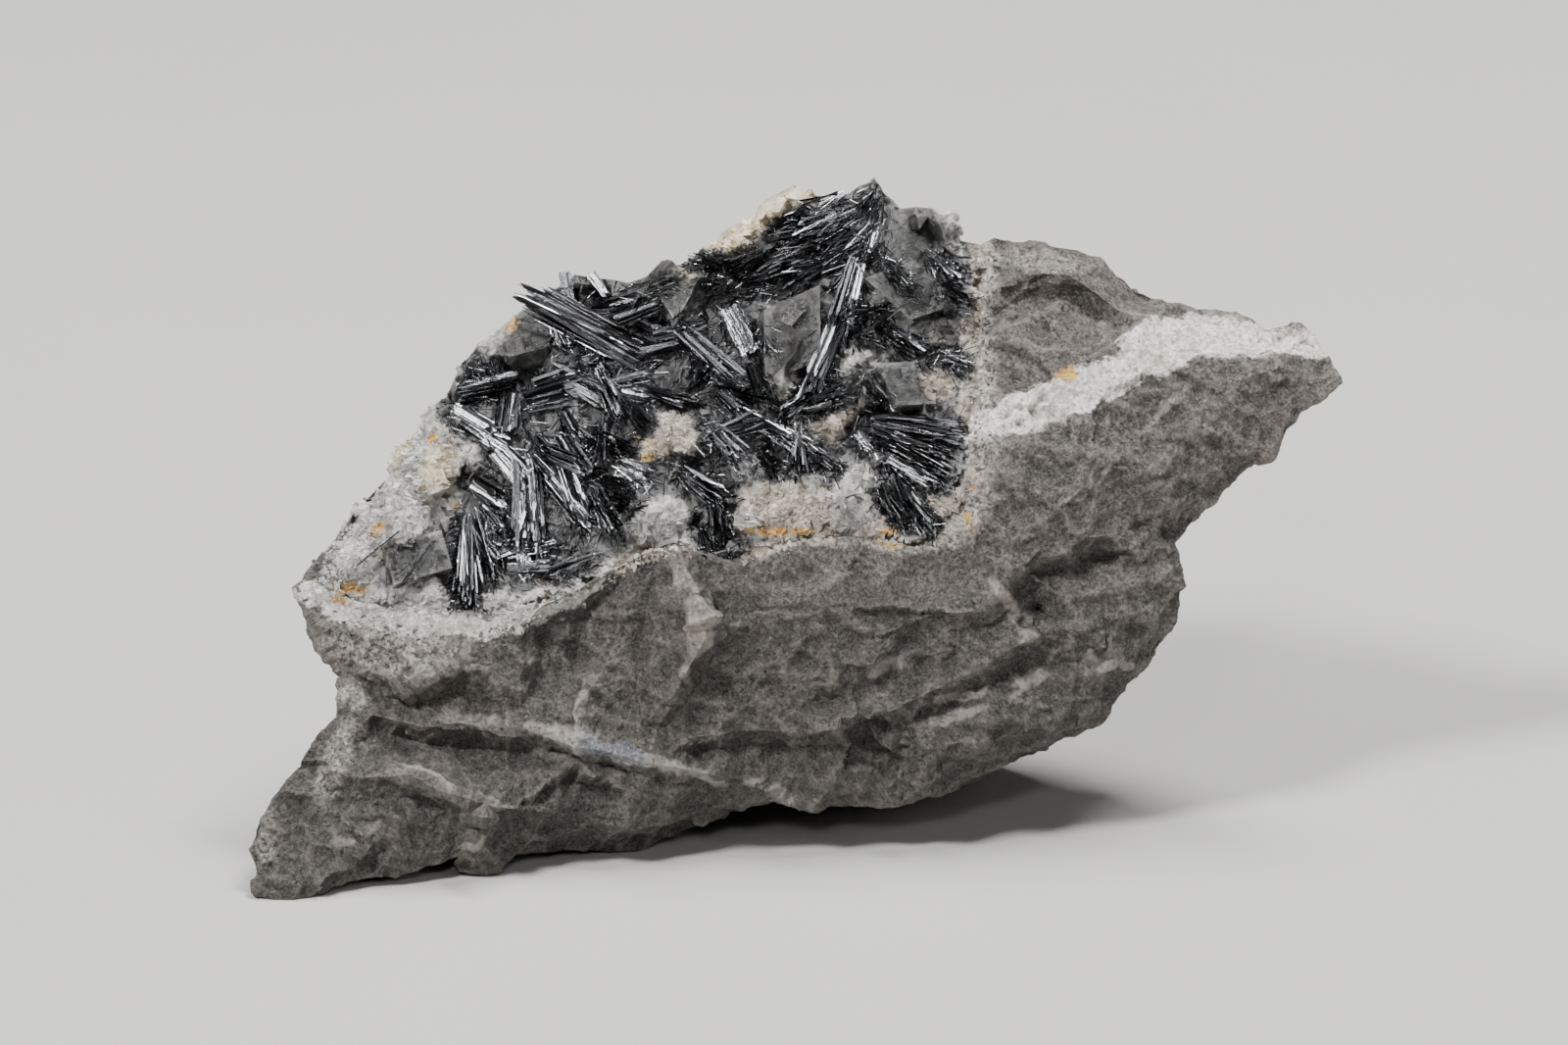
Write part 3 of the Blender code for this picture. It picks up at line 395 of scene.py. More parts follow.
def carbonate_crystalline():
    """Calcite and dolomite grown in the pocket: part clear grey, part milky, with a soft inner glow."""
    made, add = started("carbonate_crystalline")
    at, lumps = in_mm(add)
    cloud = lumps(1.4, 6, 0.65, (0.35, 0.65))
    wobble = lumps(0.8, 8, 0.7, give=(-0.6, 0.7))
    body = add(*MIX, i0=cloud, i6="#1b1b1c", i7="#474747")
    body = add(*MIX, i0=lumps(0.3, 4, 0.65, (0.4, 0.75), (0, 0.3)), i6=body, i7="#8f8e8b")
    glassy = add(*MIX, i0=lumps(2.2, 7, 0.7, (0.35, 0.65)), i6="#1a1a1a", i7="#545351")
    frost = lumps(0.16, 4, 0.7, (0.56, 0.68), (0, 0.45))
    glassy = add(*MIX, i0=frost, i6=glassy, i7="#b9b8b4")
    clear = add("Attribute", "Fac", {"attribute_name": "clear"})
    body = add(*MIX, i0=clear, i6=body, i7=glassy)
    milk = add(*MIX, i0=cloud, i6="#84817d", i7="#efece6")
    for mark in (
            ("beige", wobble, 0.3, 0.8, (cloud, "#7d7369", "#c6bcae")),
            ("milky", wobble, 0.05, 0.5, (lumps(3.6, 4, 0.6, (0.42, 0.62), (0, 0.5)), milk, "#5d5c5b")),
            ("cream", wobble, 0.3, 0.8, (cloud, "#baa37d", "#f1e6d0")),
            ("ochre", lumps(0.55, 6, 0.8, (0.3, 0.75)), 1.0, 1.5,
             (lumps(0.7, 5, 0.7, (0.4, 0.6)), "#e6b544", "#b27c20")),
            ("felt", wobble, 0.35, 0.7, (lumps(0.35, 5, 0.7, (0.4, 0.65)), "#0e0e0f", "#343435"))):
        body = marked(add, body, *mark)
    # painted highlight on the crust's crests and on its crystals' edges
    edge = add("Attribute", "Fac", {"attribute_name": "edge"})
    edge = add("Math", 0, {"operation": "MULTIPLY"}, i0=edge, i1=0.225)
    body = add(*MIX, i0=edge, i6=body, i7="#c9c8c4")
    tone = add("MapRange", Value=add("Attribute", "Fac", {"attribute_name": "tone"}), To_Min=0.5, To_Max=1.5)
    body = add("VectorMath", 0, {"operation": "SCALE"}, i0=body, Scale=tone)
    rough = add("Mix", i0=clear, i2=lumps(0.7, 4, 0.6, (-0.2, 1.5)), i3=0.27)
    see_through = add("Math", 0, {"operation": "MULTIPLY"}, i0=clear, i1=0.6)
    facets = add("TexVoronoi", "Color", Vector=at, Scale=1 / 0.6)
    facets = add("Bump", Height=facets, Strength=0.5, Distance=0.1 * MM)
    fine = add("Bump", Height=lumps(0.35, 6, 0.75), Normal=facets, Strength=1.0, Distance=0.14 * MM)
    return finished(made, Base_Color=body, Roughness=rough, Transmission_Weight=see_through, IOR=1.62,
                    Subsurface_Weight=0.2, Subsurface_Radius=(1.0, 0.95, 0.85), Subsurface_Scale=0.4 * MM,
                    Normal=faceted(add, fine, at, 0.3, 0.4))


def rouxelite_striated():
    """Rouxelite as grown: a metallic sulfosalt, striated along each lath, black until it mirrors a light; a
    pale base colour on some laths is a painted glint.
    """
    made, add = started("rouxelite_striated")
    # striae 0.05 mm wide across each lath, the finest that show, and 2 mm long along it
    scale = (SQUARE / (0.05 * MM), SQUARE / (2.0 * MM), 1.0)
    at = add("Mapping", Vector=add("UVMap", 0, {"uv_map": "lath"}), Scale=scale)
    striae = add("TexNoise", 0, {"noise_dimensions": "2D"}, Vector=at, Scale=1.0, Detail=5.0, Roughness=0.65)
    tone = add("Attribute", "Fac", {"attribute_name": "tone"})
    # painted glint: the tone takes a lath's colour from black to pale silver, standing in for the laths that
    # catch the light
    body = add(*MIX, i0=tone, i6="#0f0f11", i7="#dcdee3")
    groove = add(*MIX, i0=0.6, i6=body, i7="#101011")
    return finished(made, Base_Color=add(*MIX, i0=striae, i6=groove, i7=body), Metallic=1.0,
                    Roughness=add("MapRange", Value=striae, To_Min=0.28, To_Max=0.1),
                    Normal=add("Bump", Height=striae, Strength=0.7, Distance=0.03 * MM))


def studio_paper():
    """Matt pale paper that the specimen stands on."""
    made, add = started("studio_paper")
    lumps = in_mm(add)[1]
    tone = add(*MIX, i0=lumps(40.0, 2, 0.5), i6="#c0bfbc", i7="#c6c5c2")
    return finished(made, Base_Color=tone, Roughness=0.8)


# ------------------------ the dolostone block

# Lines and spots on the block: the bluish calcite streak, the pores, the white vein and the veinlets, the
# crumbly and the white edge of the pocket, crumbly faces, and ochre stains.
CALCITE = [(-27.4, 17.4, 0.3), (-22.4, 16.2, 0.7), (-17.6, 15, 0.75), (-12.6, 13.6, 0.5), (-7, 12, 0.3)]
PORES = [(21.6, 49.4, 5.4, 2.2, 20), (18.6, 46.4, 1.6, 3, 0)]
VEIN = [
    (12, 46.4, 0.3), (17.8, 47.9, 1.7), (22.8, 49.4, 2), (27.8, 51.2, 2.2), (32.8, 53.4, 1.7),
    (36.8, 56, 2.2), (40.8, 57.2, 2.3), (46.8, 57.2, 1.7), (53.3, 56.6, 1.5),
]
VEINLETS = [
    [(-37, 18.9, 0.4), (-33, 18.2, 0.5), (-25, 17.2, 0.5), (-17, 15, 0.5), (-11, 13.4, 0.4), (-5, 11.8, 0.5),
     (-1.2, 10.2, 0.6)],
    [(-12, 35.5, 0.9), (-11, 32, 0.7), (-9.6, 27, 0.6), (-11.2, 22.6, 0.3)],
    [(24.8, 26.7, 0.4), (14.8, 25.2, 0.3), (6.8, 22.7, 0.3), (-1, 21.5, 0.2)],
    [(33.8, 24.2, 0.3), (23.8, 22.2, 0.3), (14.8, 20, 0.25)],
    [(18.8, 35.7, 0.4), (20.8, 31.7, 0.4), (23.8, 27.2, 0.5), (27, 25.6, 0.5)],
    [(27.8, 35.7, 0.2), (31.8, 43.7, 0.25), (38.8, 51.7, 0.25)],
    [(-44, 15.9, 0.15), (-36, 11.9, 0.2), (-30, 9.9, 0.2), (-24, 8.7, 0.25)],
    [(-53.4, 8.7, 0.9), (-51, 7.2, 0.6), (-45, 5.6, 0.3)],
    [(-21.2, 21.8, 0.15), (-22.6, 18.6, 0.2), (-20.4, 16.2, 0.15)],
    [(-47, 29.8, 0.6), (-37, 28.9, 0.8), (-30, 28.5, 0.7), (-24, 30.2, 0.4)],
    [(12.5, 17.4, 0.3), (20, 19.4, 0.3), (30, 24.6, 0.3)],
    [(-34.7, 4.2, 0.15), (-32, 6.7, 0.2), (-29.6, 9.7, 0.2)],
]
SUGARY_RIM = [
    (19.2, 66.4, 1.6), (18.9, 60, 1.4), (18.9, 54, 1.8), (18.8, 47, 2.6), (18.2, 41, 2.4), (16.4, 36.6, 1.4),
    (8.8, 36.4, 0.9), (-0.4, 36.6, 0.8), (-3.4, 35.2, 0.8),
]
WHITE_RIM = [
    (-50, 31.4, 0.9), (-46.4, 29.4, 1.3), (-43, 28.6, 1.5), (-37, 28, 1.4), (-31, 27.8, 1.3),
    (-26, 28.8, 1.1), (-22.5, 30.6, 0.7), (-19.5, 32.8, 0.3),
]
SUGARY_FACES = [
    (-41.4, 26, 7.6, 3.6, -6), (-45.6, 20.6, 2.2, 1.6, 0), (25.5, 65.2, 4.6, 1.2, -8),
    (47.5, 58.2, 7, 1.5, -4), (-46.8, 14, 1.6, 4.6, -24), (-54, 5.4, 1, 2.4, 0),
]
ROCK_OCHRE = [
    (-46.4, 30.4, 1.6, 0.6, 0), (-1.6, 36.7, 4.6, 0.4, 0), (9.4, 36.4, 2.2, 0.5, -8),
    (27.4, 53.4, 1.6, 0.9, 20), (18.2, 42.6, 0.5, 1.6, 8), (-25.2, 30.4, 1.6, 0.5, 12),
    (17.6, 38.6, 0.6, 1.4, 10),
]
ROCK_EDGE, BACK_EDGE, HIDDEN_EDGE = 0.355 * MM, 0.8 * MM, 1.2 * MM  # longest edges of the cut meshes
CRUST_EDGE = 0.36 * MM


def dolostone_block():
    """The block, broken finer than its solid: chips, crumbly grain and pits, with painted shade in its
    hollows and painted highlight on its crests.
    """
    def longest(x, v, w, back):
        under_crust = (w - mouth(x, v) > FOOT) & (x < 17) & (v > 37)
        return np.where(back < 0.1, np.where(under_crust, HIDDEN_EDGE, ROCK_EDGE), BACK_EDGE)

    mesh = refined("dolostone_matrix", longest, passes=4)
    place, outward = points_of(mesh)
    drawn = to_drawing(place)
    x, v = wandering(drawn)
    w = drawn[:, 2]
    front = unit(0.6 - outward[:, 1] * 1.5)
    sugar = np.maximum(spots(x, v, SUGARY_FACES), on_line(x, v, SUGARY_RIM)) * front
    vein = np.maximum(on_line(x, v, VEIN), 0.75 * front * on_line(x, v, WHITE_RIM))
    veinlet = np.max([on_line(x, v, line, 0.55) for line in VEINLETS], axis=0)
    veinlet *= np.array([unit(0.62 + 1.3 * noise.noise(Vector(p) / 3.7)) for p in drawn])
    pores = spots(x, v, PORES) * front
    in_pocket = unit((w - mouth(x, v) - 0.9) / 0.6) * (v > 29.5) * (x < 18.4)
    heights, ridges = np.empty(len(place)), np.empty(len(place))
    for i, p in enumerate(place):
        at = Vector(p / MM)
        # flake scars 4.6, 2.0 and 0.9 mm across, on the beds' low steps, with heights in mm
        wide, wide_ridge = scoop(at / 4.6)
        close, close_ridge = scoop(at / 2.0)
        height = 1.3 * wide + 0.6 * close + 0.2 * (1 - vein[i]) * scoop(at / 0.9)[0] - 0.35
        height += ledge(at) + 0.12 * noise.fractal(at, 0.6, 2.1, 4)
        # nearness to a ridge, where a highlight is painted along it
        ridges[i] = max(wide_ridge, 0.6 * close_ridge) * max(0.0, 0.25 + 1.6 * noise.noise(at / 3.1))
        # crumbs and pits where it is sugary, open pores, and a slightly proud vein
        crumb = sugar[i] * (0.2 * noise.noise(at / 0.45) - 0.4 * max(0.0, noise.noise(at / 0.9) - 0.1))
        crumb += pores[i] * (0.3 * noise.noise(at / 1.1) - 1.3 * max(0.0, noise.noise(at / 0.8) - 0.12))
        crumb += vein[i] * (0.1 + 0.1 * noise.noise(at / 0.5) + 0.12 * noise.noise(at / 1.4))
        heights[i] = height + crumb
    # low at the pocket's rim, under the crust, and where the block rests
    heights *= 1 - 0.7 * unit(1.6 - to_rim(drawn[:, 0], drawn[:, 1])[0] / 2.0)
    at_table = unit(place[:, 2] / (0.5 * MM))
    moved = place + outward * (heights * (1 - 0.85 * in_pocket) * at_table * MM)[:, None]
    moved[:, 2] = np.maximum(moved[:, 2], 0)
    for vert, to in zip(mesh.verts, moved):
        vert.co = to
    mesh.normal_update()
    # how hollow and how proud each place lies, for the painted shade in hollows and painted highlight on
    # crests
    hollow, crest = relief(mesh, rounds=3)
    marks = {"sugar": sugar, "vein": vein, "veinlet": veinlet, "calcite": on_line(x, v, CALCITE) * front,
             "ochre": spots(x, v, ROCK_OCHRE, 0.6) * front, "hollow": hollow * front,
             "crest": 0.25 * crest * front + 0.7 * ridges}
    return layers(mesh, "broken_dolostone", marks)


# ------------------------ the carbonate crust

# Spots of the crust by colour, then where loose crumbs lie. The first SOFT_LUMPS milky spots and the cream
# ones are lumps without crystal faces.
MILKY = [
    (-38.4, 44, 9.4, 4.4, 61), (-39.4, 38.4, 1.7, 2.4, 0), (-45, 32.9, 4, 1.4, 20), (-31.6, 56, 4.8, 0.9, 52),
    (-5.2, 38.5, 1.1, 0.9, 0), (6.2, 40.8, 2.2, 3, -12), (-12.8, 38.4, 3.4, 2.2, 0),
    (16.2, 68.6, 1.6, 2.6, 10), (-38, 30.6, 8.5, 1.3, 0), (-25, 31, 3, 0.8, 12), (6.8, 56.7, 0.8, 0.9, 20),
    (-34, 52.6, 1.2, 2.6, -35), (-0.4, 52.6, 1.2, 1.4, 0), (5.4, 54.9, 2.6, 1.1, -8),
]
SOFT_LUMPS = 3
CREAM = [
    (-4.6, 69.2, 8, 1.5, 33), (0.2, 71.6, 1.9, 1.6, 30), (-16.8, 45.8, 3, 1.5, 20),
    (-36.4, 43.6, 1.8, 3, -24), (-40.6, 45.6, 1, 2.4, -30),
]
BEIGE = [
    (-1.2, 39.8, 5.8, 2.8, 0), (3.6, 49.4, 3.4, 2.6, 0), (-13, 47.4, 3.8, 2.4, 0), (14.6, 54, 2, 3.2, 0),
    (14.4, 40.6, 1.6, 3.4, 20), (9.6, 38.2, 3.4, 0.9, 0), (-8, 66, 5, 1.6, 30), (-43.6, 35.8, 2.6, 1.6, 30),
]
CRUST_OCHRE = [
    (-45.2, 31.6, 2.6, 0.7, 0), (-42.6, 37.8, 1.5, 0.8, 40), (-37, 47, 0.6, 1.5, -30),
    (-29.2, 58.6, 1.4, 1, 40), (-18.2, 54.2, 1.3, 0.8, 0), (-15.4, 45, 1.1, 0.9, 0),
    (-1.6, 37.4, 5.4, 0.6, 0), (9.4, 37.4, 1.6, 0.6, 0), (1.8, 71.2, 1.3, 1.3, 0),
    (-25.4, 32.6, 1.8, 0.5, 15), (-34.6, 40, 1, 0.7, 0), (-35.8, 60.4, 0.5, 0.5, 0),
]
CLEAR = [
    (-38.6, 34.2, 4.2, 2.7, 0), (-27, 56.2, 3.8, 2, 0), (-0.2, 57.6, 2.6, 5.8, -14), (13, 61, 4, 3.6, -38),
    (10, 51.6, 2.8, 2.4, 0), (-13.6, 62, 3, 3.4, 0), (12.4, 67.2, 3.4, 2.8, 0), (-4, 65.2, 2.4, 2, 0),
]
CRUMBS = [
    (-30, 47, 4, 5, 0), (-12, 47, 9, 4, 0), (2, 47, 7, 4, 0), (6, 56, 3, 4, 0), (-26, 38, 6, 4, 0),
    (15, 60, 2, 7, 0), (-2, 66, 9, 3, 30),
]
BEADS = [
    (4, 54.9, 0.7), (5.6, 54.4, 0.75), (6.7, 54.3, 0.55), (4.9, 55.8, 0.5), (7.4, 55.3, 0.45),
    (3.2, 53.9, 0.45),
]
POCKET_RIM = [
    (-44.4, 40.4), (-45.2, 39.2), (-46.4, 36), (-47, 33), (-46.4, 30.6), (-43, 29.8), (-37.5, 29.3),
    (-31.5, 28.9), (-27, 29.6), (-22.5, 31.2), (-19, 33.2), (-15.5, 35.2), (-12, 35.8), (-9, 34.9),
    (-6.5, 34.3), (-3.5, 34.8), (-0.5, 36.3), (4, 36.8), (9, 36.6), (12.8, 35.7), (15.3, 37.6), (16.6, 40.5),
    (17, 44), (17, 47.5), (17.6, 50.5), (18.2, 54), (17.8, 57.5), (18.6, 61), (18.9, 64), (18.9, 66.9),
]
RIM_GAP = 1.5  # squares between the rim and the edge of the crust's solid
RIM_REACH = 3.4  # squares from the rim where the crust starts to rise to it
RIM_OVERLAP = 0.9  # squares that the crust grows past the rim
MILKY_SIDE = -19  # the rim is milky up to this x, and beige past it
# Small crystals on the rim: from x, how many to a square of its length, and how far they spread from it.
RIM_SUGAR = [(-46, 50, 1.5), (-24, 20, 0.9), (-12, 8, 0.4), (-3, 20, 0.5), (14, 26, 0.9)]
# Large crystals, most of them clear: x, v, the two edges of the face as steps along x and v, nod and yaw in
# degrees, and how proud of the crust.
CRYSTALS = [
    (-0.7, 57.2, (5.8, 2.6), (0, 7.6), 7, 9, 0.8), (12, 61.6, (4.8, -4.4), (5, 1.8), 10, -12, 1),
    (11, 52, (4.1, 0.2), (-1.9, 4.4), 13, 5, 0.6), (-13.6, 62.4, (3.1, 3.3), (-2.5, 2.4), -8, 14, 0.5),
    (-5.3, 65.6, (5, 3.6), (-1.6, 2.2), 12, -10, 0.4), (-38.8, 34.2, (6, 1.8), (-1, 4), 16, 8, 0.3),
    (6.8, 59.8, (2.4, 1), (-0.8, 2.2), -12, 10, 0.4), (14.8, 57, (2.2, -0.8), (0.9, 2.6), 8, 18, 0.4),
    (-8.6, 60.4, (2.2, 1.2), (-1, 2.4), 14, 8, 0.3), (3.4, 54.4, (1.8, 0.6), (-0.4, 1.9), 12, -16, 0.5),
    (-35.2, 37.6, (2.2, 1.4), (-0.9, 2), 10, 16, 0.4), (14.2, 66.6, (2.6, -1.2), (1.4, 2.4), 16, -8, 0.4),
    (-5.2, 38.4, (1.9, -0.2), (0.3, 1.8), 10, -8, 1.2), (-39.2, 37.8, (1.5, -0.3), (0.2, 2.4), 16, 12, 0.7),
    (-37.2, 42, (2.2, 0.8), (-0.6, 2), 12, 14, 0.7), (-39.6, 45, (1.8, 1), (-0.8, 2.2), 18, 10, 0.7),
    (-36.2, 48.4, (1.6, 0.8), (-0.9, 2), 14, 12, 0.7), (-41.8, 40.6, (2, 0.4), (-0.2, 1.6), 12, 10, 0.6),
    (5.8, 41.6, (1.8, 0.6), (-0.4, 1.8), 12, -10, 0.8), (-12.6, 38.8, (2.2, 0.2), (-0.3, 1.6), 14, 8, 0.8),
    (6.9, 56.9, (1.3, 0.5), (-0.3, 1.3), 20, 20, 0.9),
]
CRYSTAL_DEPTH = 3.0  # squares
RHOMB_SKEW = -0.12  # how much a small cube is pressed along its diagonal
RHOMB_CORNERS = [(a, b, c) for a in (-1, 1) for b in (-1, 1) for c in (-1, 1)]
RHOMB_FACES = [(0, 1, 3, 2), (4, 6, 7, 5), (0, 4, 5, 1), (2, 3, 7, 6), (0, 2, 6, 4), (1, 5, 7, 3)]


def to_rim(x, v):
    """(distance to the pocket's rim, unit steps toward it along x and v) for each point."""
    best = np.full(len(x), 99.0)
    step_x, step_v = np.zeros(len(x)), np.zeros(len(x))
    for start, end in zip(POCKET_RIM, POCKET_RIM[1:]):
        run = np.array((end[0] - start[0], end[1] - start[1]))
        share = share_along(x, v, start, run)
        dx, dv = start[0] + share * run[0] - x, start[1] + share * run[1] - v
        far = np.hypot(dx, dv)
        nearer = far < best
        best = np.where(nearer, far, best)
        step_x = np.where(nearer, dx / np.maximum(far, 1e-6), step_x)
        step_v = np.where(nearer, dv / np.maximum(far, 1e-6), step_v)
    return best, step_x, step_v


def felted(x, v):
    """How much the fine laths cover the crust."""
    cover = np.zeros(len(x))
    for *_, bundles in SHEAVES.values():
        for x0, v0, x1, v1, half, count, *_ in bundles:
            if count > 1:
                far = near_line(x, v, [(x0, v0, half + 0.9), (x1, v1, half + 0.9)])
                cover = np.maximum(cover, unit(1.45 - far))
    return cover


def sprinkled(surface, x, v, sink, sizes):
    """(places, sizes): the surface seen from the front at x, v, sunk by a share of each size."""
    kept, their = [], []
    for start, size in zip(from_drawing(np.stack([x, v, np.full(len(x), IN_FRONT)], 1)), sizes):
        hit = surface.ray_cast(Vector(start), INWARD)[0]
        if hit:
            kept.append(hit + INWARD * size * sink)
            their.append(size)
    return kept, their


def rhombs(mesh, places, sizes, rng):
    """Small rhombohedra, turned at random, added to the mesh at the places."""
    for place, size in zip(places, sizes):
        turn = Quaternion(Vector(rng.normal(0, 1, 3)).normalized(), rng.uniform(0, pi))
        corners = []
        for corner in RHOMB_CORNERS:
            skewed = Vector(corner) + Vector((1, 1, 1)) * (RHOMB_SKEW * sum(corner))
            corners.append(mesh.verts.new(Vector(place) + turn @ skewed * (size / 2)))
        for face in RHOMB_FACES:
            mesh.faces.new([corners[i] for i in face])


def crystals(mesh, surface):
    """The large crystals, each a skewed block that stands a little proud of the crust."""
    upward = Vector((0, sin(LEAN), cos(LEAN)))
    on_drawing = Matrix((Vector((1, 0, 0)), upward, -INWARD)).transposed()
    for x, v, (ax, av), (bx, bv), nod, yaw, proud in CRYSTALS:
        places = sprinkled(surface, [x], [v], 0.0, [0.0])[0]
        if not places:
            continue
        tilt = Euler([radians(a) for a in (-nod, yaw, 0)]).to_matrix()
        skew = Matrix(((ax, bx, 0.3), (av, bv, 0.4), (0, 0, CRYSTAL_DEPTH)))
        form = (on_drawing @ tilt @ skew * SQUARE).to_4x4()
        form.translation = places[0] - INWARD * ((proud - CRYSTAL_DEPTH / 2) * SQUARE)
        first, first_edge = len(mesh.verts), len(mesh.edges)
        bmesh.ops.create_cube(mesh, size=1.0, matrix=form)
        mesh.edges.ensure_lookup_table()
        bmesh.ops.subdivide_edges(mesh, edges=mesh.edges[first_edge:], cuts=7, use_grid_fill=True)
        mesh.verts.ensure_lookup_table()
        for vert in mesh.verts[first:]:  # growth faces 1.6 mm across
            vert.co -= INWARD * (0.14 * MM * facet(vert.co / (1.6 * MM)))


def grown_faces(place, outward):
    """The crust's places, raised into crystal faces or soft lumps, and left smooth where it is clear."""
    x, v, _ = to_drawing(place).T
    clear = spots(x, v, CLEAR)
    soft = np.maximum(spots(x, v, MILKY[:SOFT_LUMPS]), spots(x, v, CREAM))
    heights = np.empty(len(place))
    for i, p in enumerate(place):
        at = Vector(p / MM)
        sugar = 0.5 * facet(at / 1.3) + 0.25 * facet(at / 0.65)
        lump = 1.3 * abs(noise.noise(at / 2.4)) + 0.6 * abs(noise.noise(at / 1.1)) - 0.4
        heights[i] = (sugar * (1 - 0.9 * soft[i]) + lump * soft[i]) * (1 - 0.85 * clear[i])
        heights[i] += 0.03 * noise.fractal(at / 0.6, 0.7, 2.1, 3)
    return place + outward * (heights * MM)[:, None]


def grown_to_rim(place):
    """The crust's places, with its edge drawn out over the pocket's rim and its foot sunk in the rock."""
    x, v, w = to_drawing(place).T
    far, step_x, step_v = to_rim(x, v)
    near = unit((RIM_REACH - far) / (RIM_REACH - RIM_GAP))
    lift = np.clip(w - mouth(x, v) + 0.1, 0, None) * near * (w - mouth(x, v) < FOOT)
    shift = near * (RIM_GAP + RIM_OVERLAP)
    sunk = np.where(w - mouth(x, v) > FOOT, 0.5, 1.3 * unit(shift - far))
    return from_drawing(np.stack([x + step_x * shift, v + step_v * shift, w - lift + sunk], 1))


def sugar_in_spots(mesh, surface, rng):
    """Small crystals over the milky, beige and crumbly spots."""
    for several, per_square in ((MILKY, 16), (BEIGE, 40), (CRUMBS, 9)):
        for sx, sv, along, across, turn in several:
            count = int(per_square * along * across)
            a, b = rng.normal(0, 0.55, (2, count)) * [[along], [across]]
            c, s = cos(radians(turn)), sin(radians(turn))
            sizes = (0.14 + 0.48 * rng.uniform(0, 1, count) ** 2) * MM
            rhombs(mesh, *sprinkled(surface, sx + a * c - b * s, sv + a * s + b * c, 0.25, sizes), rng)


def sugar_along_rim(mesh, surfaces, rng):
    """Small crystals on the crust and the rock, in patches along the pocket's rim."""
    for (ax, av), (bx, bv) in zip(POCKET_RIM, POCKET_RIM[1:]):
        length = hypot(bx - ax, bv - av)
        grains, spread = [band[1:] for band in RIM_SUGAR if band[0] <= max(ax, RIM_SUGAR[0][0])][-1]
        count = int(grains * length * max(0.25, 1 + 1.6 * noise.noise(Vector((ax, av, 0)) / 3.0)))
        share, aside = rng.uniform(0, 1, count), rng.normal(0.2, spread, count)
        x = ax + (bx - ax) * share - (bv - av) / length * aside
        v = av + (bv - av) * share + (bx - ax) / length * aside
        sizes = (0.1 + 0.4 * rng.uniform(0, 1, count) ** 2) * MM
        for surface in surfaces:
            rhombs(mesh, *sprinkled(surface, x, v, 0.4, sizes), rng)


def carbonate_crust(rock):
    """The crust: its crystals' own faces, a sugary skin between them, and edges grown onto the rock."""
    def longest(x, v, w, back):
        return np.where(back < 0.4, CRUST_EDGE, HIDDEN_EDGE)

    mesh = refined("carbonate_crust", longest, passes=3)
    for vert, to in zip(mesh.verts, grown_to_rim(grown_faces(*points_of(mesh)))):
        vert.co = to
    for x, v, squares in BEADS:
        radius = squares * SQUARE
        at = sprinkled(BVHTree.FromBMesh(mesh), [x], [v], -0.4, [radius])[0][0]
        bmesh.ops.create_icosphere(mesh, subdivisions=3, radius=radius, matrix=Matrix.Translation(at))
    crystals(mesh, BVHTree.FromBMesh(mesh))
    mesh.normal_update()
    # how proud each place lies, for the painted highlight on the crust's crests and edges
    crest = relief(mesh, rounds=2)[1]
    bare = len(mesh.verts)
    rng = np.random.default_rng(CRUST_SEED)
    surface = BVHTree.FromBMesh(mesh)
    sugar_in_spots(mesh, surface, rng)
    sugar_along_rim(mesh, (surface, surface_of(rock)), rng)
    x, v, _ = to_drawing([vert.co for vert in mesh.verts]).T
    tone = np.full(len(x), 0.5)
    corners = len(RHOMB_CORNERS)
    tone[bare:] = np.repeat(rng.uniform(0.25, 1.0, (len(x) - bare) // corners), corners)
    on_rim = unit(1.6 - to_rim(x, v)[0])
    clear = spots(x, v, CLEAR)
    # edge is a painted highlight on the crust's crests and its crystals' edges
    marks = {"edge": np.append(crest, np.zeros(len(x) - bare)),
             "milky": np.maximum(spots(x, v, MILKY, 0.4) * (1 - clear), on_rim * (x < MILKY_SIDE)),
             "cream": spots(x, v, CREAM, 0.6) * 0.85,
             "beige": np.maximum(spots(x, v, BEIGE, 0.4), on_rim * (x > MILKY_SIDE)),
             "clear": clear, "tone": tone, "ochre": spots(x, v, CRUST_OCHRE, 0.7),
             "felt": felted(x, v) * (1 - clear * 0.7)}
    return layers(mesh, "carbonate_lining", marks)
